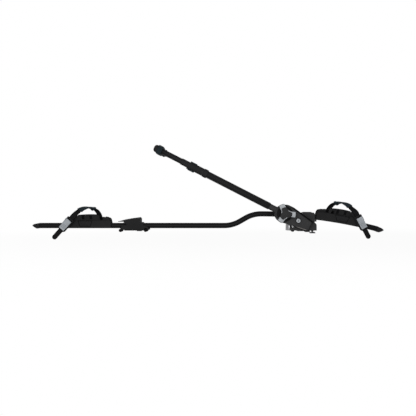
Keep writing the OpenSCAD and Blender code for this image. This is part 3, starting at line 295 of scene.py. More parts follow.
class Finish:
    """The nodes of one procedural material, or of a world, and the shader that they feed."""

    def __init__(self, name, kind="materials"):
        self.owner = getattr(bpy.data, kind).new(name)
        self.owner.use_nodes = True
        self.tree = self.owner.node_tree
        self.tree.nodes.clear()

    def node(self, kind, settings=None, sockets=None, out=0):
        """Adds a node with its settings, then the values or links of its sockets, and returns one output."""
        made = self.tree.nodes.new(kind)
        for key, value in (settings or {}).items():
            setattr(made, key, value)
        for key, value in (sockets or {}).items():
            if isinstance(value, Value):
                self.tree.links.new(value.socket, made.inputs[key])
            else:
                made.inputs[key].default_value = value
        return Value(self, made.outputs[out]) if len(made.outputs) else None

    def place(self, turn=0.0, stretch=(1, 1, 1)):
        """Object coordinates turned about Y and then stretched."""
        at = self.node("ShaderNodeTexCoord", out="Object")
        if turn:
            at = self.node("ShaderNodeMapping", None, {"Vector": at, "Rotation": (0, turn, 0)})
        return self.node("ShaderNodeMapping", None, {"Vector": at, "Scale": stretch})

    def noise(self, size, detail=2.0, at=None, rough=0.5):
        """Soft noise from 0 to 1 whose lumps are size metres wide."""
        return self.node(
            "ShaderNodeTexNoise", None,
            {"Vector": at or self.place(), "Scale": 1 / size, "Detail": detail, "Roughness": rough})

    def cells(self, size, feature="F1", out=0):
        """Voronoi cells size metres wide."""
        return self.node(
            "ShaderNodeTexVoronoi", {"feature": feature},
            {"Vector": self.place(), "Scale": 1 / size}, out)

    def blend(self, amount, low, high):
        """Colour between low and high by amount."""
        return self.node(
            "ShaderNodeMix", {"data_type": "RGBA"},
            {MIX_SHARE: amount,
             MIX_LOW: low if isinstance(low, Value) else (*low, 1),
             MIX_HIGH: high if isinstance(high, Value) else (*high, 1)}, MIX_COLOUR)

    def edges(self):
        """1 on convex edges and 0 on flat faces."""
        return self.node("ShaderNodeNewGeometry", out="Pointiness").between(0.53, 0.62)

    def bump(self, height, depth, strength=0.5):
        """Normal from a height of 0 to 1 that stands for depth metres."""
        return self.node(
            "ShaderNodeBump", None, {"Height": height, "Distance": depth, "Strength": strength})

    def surface(self, base, roughness, normal, gloss=0.5, metal=0.0):
        """Principled shader: base, roughness and normal may vary, gloss and metal are the same all over."""
        shader = self.node(
            "ShaderNodeBsdfPrincipled", None,
            {"Base Color": base, "Roughness": roughness, "Normal": normal,
             "Specular IOR Level": gloss, "Metallic": metal})
        self.node("ShaderNodeOutputMaterial", None, {"Surface": shader})
        return self.owner


def tint(base, factor):
    """A colour made lighter or darker by a factor."""
    return tuple(min(1.0, c * factor) for c in base)


# Finishes


def moulded(name, base, grain, roughness=0.66, gloss=0.012, scuffs=0.5):
    """Spark grained plastic: cell grain in the bump, cloudy tone, pale scuffs and rubbed edges."""
    f = Finish(name)
    cloud = f.noise(0.045, 3)
    grit = f.cells(grain)
    fine = f.noise(grain * 0.6, 2)
    scratch = f.noise(0.011, 4, f.place(0.5, (0.25, 1.6, 1.6)), 0.7).between(0.60, 0.74) * scuffs
    tone = f.blend(cloud, tint(base, 0.82), tint(base, 1.22))
    tone = f.blend(scratch * 0.35, tone, tint(base, 1.9))
    tone = f.blend(f.edges() * 0.25, tone, tint(base, 1.9))
    rough = roughness + (cloud - 0.5) * 0.16 + grit * 0.08 - scratch * 0.08
    return f.surface(tone, rough, f.bump(grit * 0.7 + fine * 0.3, 0.00012, 0.45), gloss=gloss)


def powder_coat(name, base):
    """Powder coat: orange peel at two sizes, faint sparkle and dust on top."""
    f = Finish(name)
    peel = f.noise(0.0021, 2)
    fine = f.noise(0.0006, 2)
    cloud = f.noise(0.09, 3, f.place(0, (0.3, 1, 1)))
    speck = f.cells(0.0011).between(0.16, 0.06)
    tone = f.blend(cloud, tint(base, 0.8), tint(base, 1.25))
    tone = f.blend(speck * 0.25, tone, tint(base, 3.0))
    rough = 0.39 + (cloud - 0.5) * 0.08 + fine * 0.06
    return f.surface(tone, rough, f.bump(peel * 0.8 + fine * 0.2, 0.00010, 0.25), gloss=0.04)


def anodised(name, base):
    """Anodised extrusion: die lines along the arm over a soft sheen."""
    f = Finish(name)
    along = f.place(-ARM_ANGLE, (0.012, 1, 1))
    lines = f.noise(0.0016, 3, along, 0.65)
    wide = f.noise(0.006, 2, along)
    cloud = f.noise(0.07, 2)
    tone = f.blend(lines * 0.6 + cloud * 0.4, tint(base, 0.75), tint(base, 1.4))
    tone = f.blend(f.edges() * 0.3, tone, tint(base, 3.0))
    rough = 0.40 + lines * 0.06 + (cloud - 0.5) * 0.05
    return f.surface(tone, rough, f.bump(lines * 0.6 + wide * 0.4, 0.00004, 0.25), gloss=0.07)


def rubber(name, base, roughness=0.72):
    """Rubber: pebbled skin, chalky bloom and darker hollows."""
    f = Finish(name)
    pebble = f.cells(0.0012, "SMOOTH_F1")
    bloom = f.noise(0.02, 4).between(0.45, 0.75)
    fine = f.noise(0.0005, 2)
    tone = f.blend(bloom, base, tint(base, 1.45))
    tone = f.blend(pebble.between(0.25, 0.0) * 0.3, tone, tint(base, 0.6))
    rough = roughness + bloom * 0.12 + (fine - 0.5) * 0.08
    return f.surface(tone, rough, f.bump(pebble * 0.7 + fine * 0.3, 0.00014, 0.4), gloss=0.03)


def strap_plastic(name, base):
    """Strap plastic: flow lines, rubbed ribs and a soft gloss."""
    f = Finish(name)
    flow = f.noise(0.006, 3, f.place(0.6, (0.3, 1, 1)))
    fine = f.noise(0.0007, 2)
    tone = f.blend(flow, tint(base, 0.8), tint(base, 1.3))
    tone = f.blend(f.edges() * 0.4, tone, tint(base, 3.2))
    rough = 0.52 + (flow - 0.5) * 0.18 + fine * 0.06
    return f.surface(tone, rough, f.bump(fine * 0.6 + flow * 0.4, 0.00008, 0.35), gloss=0.03)


def grey_moulded(name, base, grain):
    """Grey plastic: fine grain, faint clouds and dirt caught in scratches."""
    f = Finish(name)
    cloud = f.noise(0.018, 3)
    grit = f.cells(grain * 0.8)
    scratch = f.noise(0.006, 4, f.place(0.9, (0.2, 1.8, 1.8)), 0.7).between(0.62, 0.72)
    tone = f.blend(cloud, tint(base, 0.9), tint(base, 1.1))
    tone = f.blend(scratch * 0.22, tone, tint(base, 0.6))
    rough = 0.46 + (cloud - 0.5) * 0.15 + scratch * 0.1
    return f.surface(tone, rough, f.bump(grit, 0.00009, 0.35), gloss=0.2)


def zinc_plate(name, base):
    """Zinc plated steel: small spangles, drawn streaks and a cool bloom."""
    f = Finish(name)
    spangle = f.cells(0.004, out="Color")
    grey = f.node("ShaderNodeRGBToBW", None, {"Color": spangle})
    streak = f.noise(0.003, 3, f.place(0, (1, 1, 0.05)))
    bloom = f.noise(0.02, 3).between(0.5, 0.75)
    tone = f.blend(grey * 0.6 + streak * 0.4, tint(base, 0.9), tint(base, 1.08))
    tone = f.blend(bloom * 0.35, tone, tint(base, 0.8))
    rough = 0.30 + grey * 0.10 + bloom * 0.12
    return f.surface(tone, rough, f.bump(streak * 0.5 + grey * 0.5, 0.00004, 0.4), metal=1.0)


def turned_steel(name, base):
    """Turned steel: fine rings of tool marks and a little oil."""
    f = Finish(name)
    marks = f.noise(0.0009, 3, f.place(0, (1, 0.2, 1)), 0.6)
    oil = f.noise(0.012, 2).between(0.45, 0.7)
    tone = f.blend(marks, tint(base, 0.8), tint(base, 1.1))
    rough = 0.24 + marks * 0.14 + oil * 0.08
    return f.surface(tone, rough, f.bump(marks, 0.00004, 0.4), metal=1.0)


def sintered(name, base):
    """Sintered bronze: open pores and a brown tarnish."""
    f = Finish(name)
    pores = f.cells(0.0007).between(0.22, 0.05)
    tarnish = f.noise(0.008, 3).between(0.4, 0.7)
    tone = f.blend(tarnish, base, tint(base, 0.65))
    tone = f.blend(pores * 0.6, tone, tint(base, 0.3))
    rough = 0.36 + tarnish * 0.15 + pores * 0.2
    return f.surface(tone, rough, f.bump(1 - pores, 0.00008, 0.4), metal=1.0)


MADE = {}


def finish(name):
    """The material of one finish, made on first use from its maker and its values."""
    if name not in MADE:
        c, s = bpy.context.scene.carrier_colours, bpy.context.scene.carrier_sizes
        maker, *values = {
            "moulding": (moulded, c.moulding, s.grain),
            "knob_moulding": (moulded, tint(c.moulding, 0.80), s.grain),
            "knob_body": (moulded, tint(c.moulding, 0.28), s.grain),
            "tray_moulding": (moulded, tint(c.moulding, 0.52), s.grain * 1.3, 0.68, 0.010, 0.8),
            "smooth_moulding": (moulded, c.smooth, s.grain * 0.6, 0.62, 0.012, 0.3),
            # Window webs, and the latch seams as painted shadow
            "window_black": (moulded, c.strap, s.grain, 0.75, 0.02, 0.2),
            "powder_coat": (powder_coat, c.coat),
            "anodised": (anodised, c.anodised),
            "strap_plastic": (strap_plastic, c.strap),
            "grey_moulding": (grey_moulded, c.grey, s.grain),
            "pale_moulding": (grey_moulded, c.pale, s.grain),
            # Button paled by painted light against the housing's shadow
            "button_moulding": (grey_moulded, c.button, s.grain),
            # Painted highlight along the housing's lower edge
            "sill_moulding": (grey_moulded, c.sill, s.grain),
            "jaw_coat": (rubber, c.jaw, 0.6),
            "facing_rubber": (rubber, c.facing, 0.66),
            # Foot rubber, also drawn on the housing rim as painted shade
            "foot_rubber": (rubber, c.foot),
            "zinc_plate": (zinc_plate, c.zinc),
            "turned_steel": (turned_steel, c.steel),
            "black_steel": (turned_steel, c.black_steel),
            "sintered_bronze": (sintered, c.bronze),
        }[name]
        MADE[name] = maker(name, *values)
    return MADE[name]


# Meshes


def quads(rows, cols):
    """Faces of a grid of rows by cols points, with the last column joined to the first."""
    i, k = np.meshgrid(np.arange(rows - 1), np.arange(cols), indexing="ij")
    a, b = i * cols + k, i * cols + (k + 1) % cols
    return np.stack([a, b, b + cols, a + cols], -1).reshape(-1, 4)


def grid(x, y, z):
    """Points from three arrays that are spread out to one shape."""
    return np.stack(np.broadcast_arrays(x, y, z), -1)


def ladder(count, start, flip):
    """Flat cap over a ring whose halves mirror each other: rungs join point k to point -k."""
    k = np.arange(count // 2 - 1)
    rung = start + np.stack([k, k + 1, count - 2 - k, count - 1 - k], -1)
    return rung[:, ::-1] if flip else rung


def outward(points, faces):
    """Faces turned so that the volume that they enclose, the sum of a . (b x c + c x d) / 6, is positive."""
    a, b, c, d = (points.reshape(-1, 3)[faces[:, k]] for k in range(4))
    volume = np.sum(a * (np.cross(b, c) + np.cross(c, d)))
    return faces if volume > 0 else faces[:, ::-1]


def swept(points):
    """Closed sweep: the sides of a row of rings, with a flat cap over the first ring and the last one."""
    rows, cols = points.shape[:2]
    caps = [ladder(cols, 0, True), ladder(cols, (rows - 1) * cols, False)]
    return points, outward(points, np.concatenate([quads(rows, cols), *caps]))


def looped(points):
    """Closed loop: each ring is joined to the next one, and the last ring to the first."""
    rows, cols = points.shape[:2]
    return points, quads(rows + 1, cols) % (rows * cols)


def joined(parts):
    """Several point grids and their faces as one list of points and one of faces."""
    starts = np.cumsum([0] + [p.size // 3 for p, _ in parts[:-1]])
    points = np.concatenate([p.reshape(-1, 3) for p, _ in parts])
    return points, np.concatenate([f + n for (_, f), n in zip(parts, starts)])


def piece(name, points, faces, body, material, stands_for=()):
    """A smooth closed mesh, its faces outwards, that rides on a body and stands for CAD nodes."""
    mesh = bpy.data.meshes.new(name)
    mesh.from_pydata(points.reshape(-1, 3).tolist(), [], outward(points, faces).tolist())
    mesh.polygons.foreach_set("use_smooth", np.ones(len(mesh.polygons), bool))
    mesh.materials.append(finish(material))
    mesh.update()
    made = bpy.data.objects.new(name, mesh)
    bpy.context.scene.collection.objects.link(made)
    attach(made, body)
    if stands_for:
        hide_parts(*stands_for)


def soften(node, width, material, clamp=False):
    """Gives a CAD node its finish, and welds and bevels its edges when it is drawn."""
    made = NODES[node]
    made.data.materials.clear()
    made.data.materials.append(finish(material))
    made.data.polygons.foreach_set("use_smooth", np.ones(len(made.data.polygons), bool))
    weld = made.modifiers.new("Weld", "WELD")
    weld.merge_threshold = WELD_WITHIN
    flat = made.modifiers.new("Flat faces", "DECIMATE")
    flat.decimate_type, flat.angle_limit = "DISSOLVE", FLAT_WITHIN
    bevel = made.modifiers.new("Edges", "BEVEL")
    bevel.limit_method, bevel.angle_limit = "ANGLE", SHARP_FROM
    bevel.width, bevel.segments, bevel.use_clamp_overlap = width, BEVEL_STEPS, clamp
    bevel.harden_normals = True


def soften_all(material, names, width=None):
    """Softens several CAD nodes alike, with the moulded edge where no width is given."""
    for node in names:
        soften(node, width or bpy.context.scene.carrier_sizes.edge, material)


def stadium(width, height, steps):
    """Ring of (across, up) points round a flat sided oval: a half circle about each end of its middle."""
    a = np.linspace(-np.pi / 2, np.pi / 2, steps)
    half = np.stack([(width - height) / 2 + height / 2 * np.cos(a), height / 2 * np.sin(a)], -1)
    return np.concatenate([half, -half])


def ring_angles(steps):
    """Angles round a ring from its lowest point, half a step off it so that the ring's halves mirror."""
    return (np.arange(steps) + 0.5) / steps * 2 * np.pi - np.pi / 2


def rounded_bar(width, thick, steps, power=0.28):
    """Ring of (across, up) points: a superellipse, near a rectangle with round corners."""
    a = ring_angles(steps)
    c, s = np.cos(a), np.sin(a)
    across = width / 2 * np.sign(c) * abs(c) ** power
    return np.stack([across, thick / 2 * np.sign(s) * abs(s) ** power], -1)


def ramp(value, reach):
    """0 below 0, 1 above reach, and a straight line between."""
    return np.clip(value / reach, 0, 1)


def end_round(t, reach):
    """1 along a run from t = -1 to 1, with a square root fall to 0 over the last reach at both ends."""
    return ramp(1 - abs(t), reach) ** 0.5


def turned(points, angle, at):
    """Points turned about Y by an angle and then moved by at."""
    x, y, z = points[..., 0], points[..., 1], points[..., 2]
    c, s = math.cos(angle), math.sin(angle)
    return np.stack([at[0] + x * c + z * s, at[1] + y, at[2] - x * s + z * c], -1)


def travelled(line):
    """Distance of each point of a line from its first one, measured along the line."""
    return np.concatenate([[0], np.cumsum(np.linalg.norm(np.diff(line, axis=0), axis=1))])


# Rail


def rail_arc(x, z, radius, along, rise, turn):
    """Arc that starts level at (x, z), as (x, z, slope); along and rise are the signs of its run and rise."""
    return np.stack([x + along * radius * np.sin(turn), z + rise * radius * (1 - np.cos(turn)),
                     along * rise * turn], -1)


def rail_line():
    """Middle line of the rail as (x, z, slope): straight, arc up, straight, arc level, long falling arc."""
    up = np.linspace(0, BEND_ANGLE, BEND_STEPS)
    down = np.linspace(0, SWEEP_ANGLE, SWEEP_STEPS)
    bend_in = BEND_X - BEND_RUN / 2
    x = np.arange(RAIL_REAR_X, bend_in - RAIL_STEP / 2, RAIL_STEP)
    straight = np.stack([x, np.full_like(x, RAIL_LOW_Z), np.zeros_like(x)], -1)
    rise = rail_arc(bend_in, RAIL_LOW_Z, BEND_R, 1, 1, up)
    level = rail_arc(SWEEP_X, RAIL_HIGH_Z, BEND_R, -1, -1, up)[::-1]
    fall = rail_arc(SWEEP_X, RAIL_HIGH_Z, SWEEP_R, 1, -1, down)[1:]
    return np.concatenate([straight, rise, level, fall])


def rail_skin():
    """Tube: the oval ring carried along the rail line outside, then back along it inside, and closed."""
    line = rail_line()
    x, z, slope = line[:, :1], line[:, 1:2], line[:, 2:]

    def carried(width, height):
        across, up = stadium(width, height, OVAL_STEPS).T
        return grid(x - up * np.sin(slope), across, z + up * np.cos(slope))

    outer = carried(RAIL_W, RAIL_H)
    inner = carried(RAIL_W - 2 * RAIL_WALL, RAIL_H - 2 * RAIL_WALL)
    return looped(np.concatenate([outer, inner[::-1]]))


class CARRIER_OT_rail(bpy.types.Operator):
    """Smooth skin over the bent rail tube, and finishes for its end caps"""

    bl_idname, bl_label = "carrier.rail", "Rail and end caps"

    def execute(self, context):
        points, faces = rail_skin()
        piece("rail_skin", points, faces, "rail_frame", "powder_coat", ["rail_tube"])
        soften_all("smooth_moulding", ["rear_end_cap", "front_end_cap"], CAP_EDGE)
        return {"FINISHED"}


# Trays, straps and buckles


def on_front(points):
    """From the tray's own frame to the carrier's: a tilt about Y, then the tray's place on the rail."""
    return turned(points, FRONT_TILT, (FRONT_TRAY_X, 0, FRONT_TRAY_Z))


def on_rear(points):
    """The rear tray is the front one's mirror image, and it isn't tilted."""
    return points * (-1, 1, 1) + (REAR_TRAY_X, 0, RAIL_LOW_Z)


# Name, placing, body, strap slope and strap tail of each end
ENDS = (("front", on_front, "rail_frame", FRONT_SLOPE, FRONT_TAIL),
        ("rear", on_rear, "rear_tray", REAR_SLOPE, REAR_TAIL))


def strap_points(slope, tail):
    """Control points of a strap in its tray's own frame, as (x, y, z, turn of its face in degrees): up from
    the far anchor, over the tyre, and down through the buckle to the tail."""
    far = TRAY_HALF + STRAP_T / 2 + STRAP_GAP

    def beside(t):
        return [BUCKLE_X + t * math.cos(slope), -STRAP_Y, BUCKLE_Z - t * math.sin(slope), 180]

    return np.array([
        [-0.044, far, -0.006, 0],
        [-0.044, far, 0.002, 0],
        [-0.044, far + 0.0001, 0.014, 0],
        [-0.0435, far + 0.0035, 0.027, 8],
        [-0.038, far + 0.002, 0.046, 30],
        [-0.026, 0.019, 0.064, 58],
        [-0.002, 0, HUMP_Z + 0.0285, 90],
        [0.021, -0.020, HUMP_Z + 0.0233, 124],
        [0.0385, -0.039, HUMP_Z + 0.0080, 160],
        beside(-0.047), beside(-0.038), beside(-0.012), beside(0.014), beside(tail * 0.6), beside(tail)])


def spline(p, u):
    """Catmull-Rom curve through p at the parameters u, with its ends held."""
    n = len(p) - 1
    i = np.minimum(np.floor(u).astype(int), n - 1)
    t = (u - i)[:, None]
    a, b, c, d = p[np.maximum(i - 1, 0)], p[i], p[i + 1], p[np.minimum(i + 2, n)]
    square, cube = 2 * a - 5 * b + 4 * c - d, 3 * b - a - 3 * c + d
    return 0.5 * (2 * b + (c - a) * t + square * t ** 2 + cube * t ** 3)


def strap_frame(p, u):
    """Middle line, side, outward and forward directions of the strap through p at the parameters u."""
    q = spline(p, u)
    ahead = spline(p, np.minimum(u + 0.05, len(p) - 1)) - spline(p, np.maximum(u - 0.05, 0))
    along = ahead[:, :3] / np.linalg.norm(ahead[:, :3], axis=1, keepdims=True)
    turn = np.radians(q[:, 3])
    face = np.stack([np.zeros_like(turn), np.cos(turn), np.sin(turn)], -1)
    side = np.cross(face, along)
    side /= np.linalg.norm(side, axis=1, keepdims=True)
    return q[:, :3], side, np.cross(along, side), along


def strap_band(p, pitch, height):
    """A rounded bar section carried along the strap line; cos ribs swell its outer face beside the buckle,
    and the tail narrows as a half circle."""
    last = len(p) - 1.0
    half = STRAP_W / 2
    u = np.linspace(0, last, STRAP_STEPS)
    middle, side, out, along = strap_frame(p, u)
    reach = half * np.sin(np.linspace(0, np.pi / 2, TAIL_STEPS)[1:] * 0.995)
    middle = np.concatenate([middle, middle[-1] + reach[:, None] * along[-1]])
    side, out = (np.concatenate([v, np.repeat(v[-1:], len(reach), 0)]) for v in (side, out))
    width = np.concatenate([np.ones(len(u)), np.sqrt(1 - (reach / half) ** 2)])
    run = travelled(middle)
    u = np.concatenate([u, np.full(len(reach), last)])
    ribbed = ramp(u - RIBS_FROM, RIBS_FULL - RIBS_FROM) * ramp(run[-1] - TAIL_BARE - run, TAIL_FADE)
    rib = height * (0.5 + 0.5 * np.cos(2 * np.pi * run / pitch)) ** RIB_POWER * ribbed
    ring = rounded_bar(STRAP_W, STRAP_T, 32)
    inset = ramp(half - EDGE_BARE - abs(ring[:, 0]), EDGE_FADE) * (ring[:, 1] > 0)
    lift = ring[:, 1] + (rib - RIB_SUNK * ribbed)[:, None] * inset
    across = ring[:, :1] * width[:, None, None]
    return swept(middle[:, None] + side[:, None] * across + out[:, None] * lift[..., None])


def strap_sleeve(p):
    """Rubber sleeve: a bar section with a thick keeper at its start and a lip at its end carried outside
    the strap, then back inside it."""
    u = np.linspace(SLEEVE_FROM, SLEEVE_TO, SLEEVE_STEPS)
    middle, side, out, _ = strap_frame(p, u)
    t = np.linspace(-1, 1, len(u))
    keeper = KEEPER_T * ramp(KEEPER_HALF - abs(t - KEEPER_AT), SLEEVE_ROUND) ** 0.5
    lip = LIP_T * np.exp(-((t - LIP_AT) / LIP_HALF) ** 2)
    ends = SLEEVE_ROUND_T * (1 - end_round(t, SLEEVE_ROUND))
    wide, thick = STRAP_W + SLEEVE_OVER_W, STRAP_T + SLEEVE_OVER_T
    outer = rounded_bar(wide, thick, 36, 0.34)
    inner = rounded_bar(STRAP_W + SLEEVE_CLEAR, STRAP_T + SLEEVE_CLEAR, 36, 0.2)

    def carried(ring, grow):
        across = ring[:, :1] * (1 + 2 * grow[:, None, None] / wide)
        up = ring[:, 1:] * (1 + 2 * grow[:, None, None] / thick) - SLEEVE_IN
        return middle[:, None] + side[:, None] * across + out[:, None] * up

    outside, inside = carried(outer, keeper + lip - ends), carried(inner, np.zeros(len(u)))
    return looped(np.concatenate([outside, inside[::-1]]))


def wall_out(z):
    """Distance of the flared wall's outer face from the tray's middle plane at height z."""
    low, top = TRAY_HALF + 0.002, HUMP_Z + 0.002
    return low + (TRAY_TOP_HALF - low) * (z - LEDGE_Z) / (top - LEDGE_Z)


def wall_in(z):
    """Distance of the flared wall's inner face from the tray's middle plane at height z."""
    low, top = TRAY_HALF - 0.001, HUMP_Z + 0.003
    return low + (TRAY_TOP_HALF - TRAY_WALL - low) * (z - LEDGE_Z) / (top - LEDGE_Z)


def wall_slab(x, low, high, side, inner=wall_in, outer=wall_out):
    """A rounded bar section carried along x: its height runs from low to high, and its faces follow the
    flared lines inner(z) and outer(z) on one side of the tray."""
    q = rounded_bar(2.0, 2.0, 32, 0.22)
    z = low + (high[:, None] - low) * (q[:, 1] + 1) / 2
    y = side * ((outer(z) + inner(z)) / 2 + (outer(z) - inner(z)) / 2 * q[:, 0])
    return swept(grid(x[:, None], y, z))


def hump_arc(x):
    """Height of the hump's long arc at x."""
    return HUMP_Z - HUMP_ARC + np.sqrt(HUMP_ARC ** 2 - x ** 2)


def wall_wings():
    """Low ends of the flared walls: the hump's own arc, rounded off towards its strap slot, and that arc, a
    steep fall and a gentle one towards the buckle."""
    slot = np.linspace(WING_SLOT_END, -WING_ROOT, 24)
    past = ramp(WING_SLOT_END + WING_ROUND - slot, WING_ROUND)
    drop = WING_ROUND * (1 - np.sqrt(np.clip(1 - past ** 2, 0, 1)))
    rounded = hump_arc(slot) - WING_SLOT_SUNK - drop
    buckle = np.linspace(WING_ROOT, WING_BUCKLE_END, 48)
    steep = STEEP_Z - (buckle - STEEP_X) * STEEP_SLOPE
    gentle = GENTLE_Z - (buckle - GENTLE_X) * GENTLE_SLOPE
    fall = np.maximum(gentle, np.minimum(hump_arc(buckle) - WING_BUCKLE_SUNK, steep))
    foot = LEDGE_Z - WING_FOOT_SUNK
    return joined([wall_slab(slot, foot, rounded, -1), wall_slab(buckle, foot, fall, -1),
                   wall_slab(buckle, foot, fall, 1)])


def window_backs():
    """Thin webs that close the slot windows from inside, pressed against both flared walls."""
    made = []
    for middle in (-WINDOW_X, WINDOW_X):
        x = np.linspace(middle - WINDOW_HALF, middle + WINDOW_HALF, 6)
        high = np.full(len(x), HUMP_Z - WEB_BELOW_HUMP)
        for side in (-1, 1):
            made.append(wall_slab(x, LEDGE_Z + WEB_ABOVE_LEDGE, high, side,
                                  lambda z: wall_in(z) - WEB_FAR, lambda z: wall_in(z) - WEB_NEAR))
    return joined(made)


def latch_seam():
    """Dark line round the latch, painted shadow that stands for the shadow in the gap round it: a rounded bar
    section carried down one slanted side of its opening, along the bottom and up the other side, and sunk
    into the tray's near wall."""
    low = LATCH_LOW - SHADOW_SEAM_GAP
    corners = np.array([[LATCH_TOP_FROM - SHADOW_SEAM_GAP, LATCH_TOP], [LATCH_LOW_FROM - SHADOW_SEAM_GAP, low],
                        [LATCH_LOW_TO + SHADOW_SEAM_GAP, low], [LATCH_TOP_TO + SHADOW_SEAM_GAP, LATCH_TOP]])
    run = travelled(corners)
    at = np.linspace(0, run[-1], 90)
    line = np.stack([np.interp(at, run, corners[:, 0]), np.interp(at, run, corners[:, 1])], -1)
    along = np.gradient(line, axis=0)
    along /= np.linalg.norm(along, axis=1, keepdims=True)
    ring = rounded_bar(SHADOW_SEAM_W, SHADOW_SEAM_T, 20, 0.4)
    place = line[:, None] + (along[:, ::-1] * [-1, 1])[:, None] * ring[:, :1]
    y = SHADOW_SEAM_SUNK - TRAY_HALF + ring[:, 1]
    return swept(grid(place[..., 0], y, place[..., 1]))


class CARRIER_OT_trays(bpy.types.Operator):
    """Wall ends, window webs and latch seams (painted shadow) of both wheel trays, and finishes for their
    parts
    """

    bl_idname, bl_label = "carrier.trays", "Wheel trays"

    def execute(self, context):
        for end, put, body, _, _ in ENDS:
            soften_all("tray_moulding", [f"{end}_tray"], TRAY_EDGE)
            soften_all("smooth_moulding", [f"{end}_tray_latch", f"{end}_strap_anchor", f"{end}_buckle_frame"])
            soften_all("grey_moulding", [f"{end}_buckle_lever"], TRAY_EDGE)
            for name, (points, faces), material in (
                    ("wall_wings", wall_wings(), "tray_moulding"),
                    ("window_backs", window_backs(), "window_black"),
                    # The latch seam is a dark line of painted shadow
                    ("latch_seam", latch_seam(), "window_black")):
                piece(f"{end}_{name}", put(points), faces, body, material)
        return {"FINISHED"}


class CARRIER_OT_straps(bpy.types.Operator):
    """Ribbed wheel straps and their rubber sleeves"""

    bl_idname, bl_label = "carrier.straps", "Straps"

    def execute(self, context):
        s = context.scene.carrier_sizes
        for end, put, body, slope, tail in ENDS:
            p = strap_points(slope, tail)
            points, faces = strap_band(p, s.rib_pitch, s.rib_height)
            piece(f"{end}_strap_band", put(points), faces, body, "strap_plastic",
                  [f"{end}_strap"])
            points, faces = strap_sleeve(p)
            piece(f"{end}_strap_sleeve", put(points), faces, body, "facing_rubber",
                  [f"{end}_strap_pad"])
        return {"FINISHED"}


# Feet


def pad_slab(x, y, pitch, depth):
    """Flat rubber slab: a rounded bar section from y[0] to y[1] carried from x[0] to x[1], with cos grooves
    across its lower face and rounded ends."""
    run = np.linspace(x[0], x[1], 90)
    end = ramp(np.minimum(run - x[0], x[1] - run), PAD_ROUND) ** 0.5
    ring = rounded_bar(y[1] - y[0], PAD_T, 32, 0.16)
    groove = depth * (0.5 + 0.5 * np.cos(2 * np.pi * (run - x[0]) / pitch)) ** 3
    z = PAD_T / 2 + ring[:, 1] * (0.8 + 0.2 * end[:, None]) + groove[:, None] * (ring[:, 1] < 0)
    across = (y[0] + y[1]) / 2 + ring[:, 0] * (1 - 0.004 * (1 - end[:, None]))
    return swept(grid(run[:, None], across, z))


def pad_roll(x, z, d, y, top):
    """Round rubber lip across the carrier: a circle about (x, z) cut off level at top, carried from y[0] to
    y[1] with rounded ends."""
    run = np.linspace(-1, 1, 40)
    end = 0.86 + 0.14 * np.sqrt(np.clip(1 - ramp(abs(run) - 0.94, 0.06) ** 2, 0, 1))
    a = ring_angles(40)
    high = np.minimum(z + d / 2 * np.sin(a) * end[:, None], top)
    wide = x + d / 2 * np.cos(a) * end[:, None]
    across = (y[0] + y[1]) / 2 + (y[1] - y[0]) / 2 * run
    return swept(grid(wide, across[:, None], high))


def front_pad(pitch, depth):
    """Rubber below the front foot: a slab between the T bolts, two wings behind them and a round ridge at
    the back."""
    low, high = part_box("front_bar_pad")
    made = [pad_slab((FOOT_PAD_BACK, high[0]), (-BOLT_CLEAR, BOLT_CLEAR), pitch, depth)]
    for y in ((low[1], PAD_LAP - BOLT_CLEAR), (BOLT_CLEAR - PAD_LAP, high[1])):
        made.append(pad_slab((FOOT_PAD_BACK, -T_HEAD_HALF - BOLT_GAP), y, pitch, depth))
    made.append(pad_roll(RIDGE_X, PAD_T + RIDGE_UP, RIDGE_D, (low[1] + RIDGE_IN, RIDGE_TO), PAD_T))
    return joined(made)


def rear_pad(pitch, depth):
    """Rubber below the rear foot: a frame round the T head, and a round lip at each end."""
    low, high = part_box("rear_bar_pad")
    gap = T_HEAD_HALF + YOKE_GAP
    whole = (low[1], high[1])
    made = [pad_slab((REAR_X - REAR_PAD_BACK, REAR_X - gap), whole, pitch, depth),
            pad_slab((REAR_X + gap, REAR_X + REAR_PAD_FRONT), whole, pitch, depth)]
    for y in ((low[1], low[1] + REAR_PAD_SIDE), (high[1] - REAR_PAD_SIDE, high[1])):
        made.append(pad_slab((REAR_X - gap - PAD_LAP, REAR_X + gap + PAD_LAP), y, pitch, depth))
    rail_under = RAIL_LOW_Z - RAIL_H / 2 - RAIL_CLEAR
    made.append(pad_roll(REAR_X - SADDLE_BACK, BACK_LIP_Z, BACK_LIP_D, whole, rail_under))
    made.append(pad_roll(REAR_X + FRONT_LIP_X, FRONT_LIP_Z, FRONT_LIP_D, whole, rail_under))
    return joined(made)


class CARRIER_OT_feet(bpy.types.Operator):
    """Rubbers below both feet, and finishes for the feet, their bolts, button and cam lever"""

    bl_idname, bl_label = "carrier.feet", "Feet"

    def execute(self, context):
        soften_all("moulding", ["front_foot_body", "foot_cover_near", "foot_cover_far", "rail_clamp_cap",
                                "hand_nut_near", "hand_nut_far"])
        soften_all("tray_moulding", ["rear_foot_saddle", "quick_release_lever"])
        soften_all("zinc_plate", ["foot_chassis"], METAL_EDGE)
        soften_all("black_steel", ["t_bolt_near", "t_bolt_far", "draw_yoke"], METAL_EDGE)
        soften_all("turned_steel", ["rail_clamp_screws", "hinge_pin", "lever_pin"], METAL_EDGE)
        # The release button's paler colour is painted light
        soften_all("button_moulding", ["release_button"])
        s = context.scene.carrier_sizes
        for end, (points, faces), body in (
                ("front", front_pad(s.pad_pitch, s.pad_depth), "rail_frame"),
                ("rear", rear_pad(s.pad_pitch, s.pad_depth), "rear_foot")):
            piece(f"{end}_bar_rubber", points, faces, body, "foot_rubber", [f"{end}_bar_pad"])
        return {"FINISHED"}


# Arm and drive


def on_arm(points):
    """From the arm's own frame, with the tip at -x, to the carrier's: a turn about Y at the hinge."""
    return turned(points, ARM_ANGLE, HINGE)


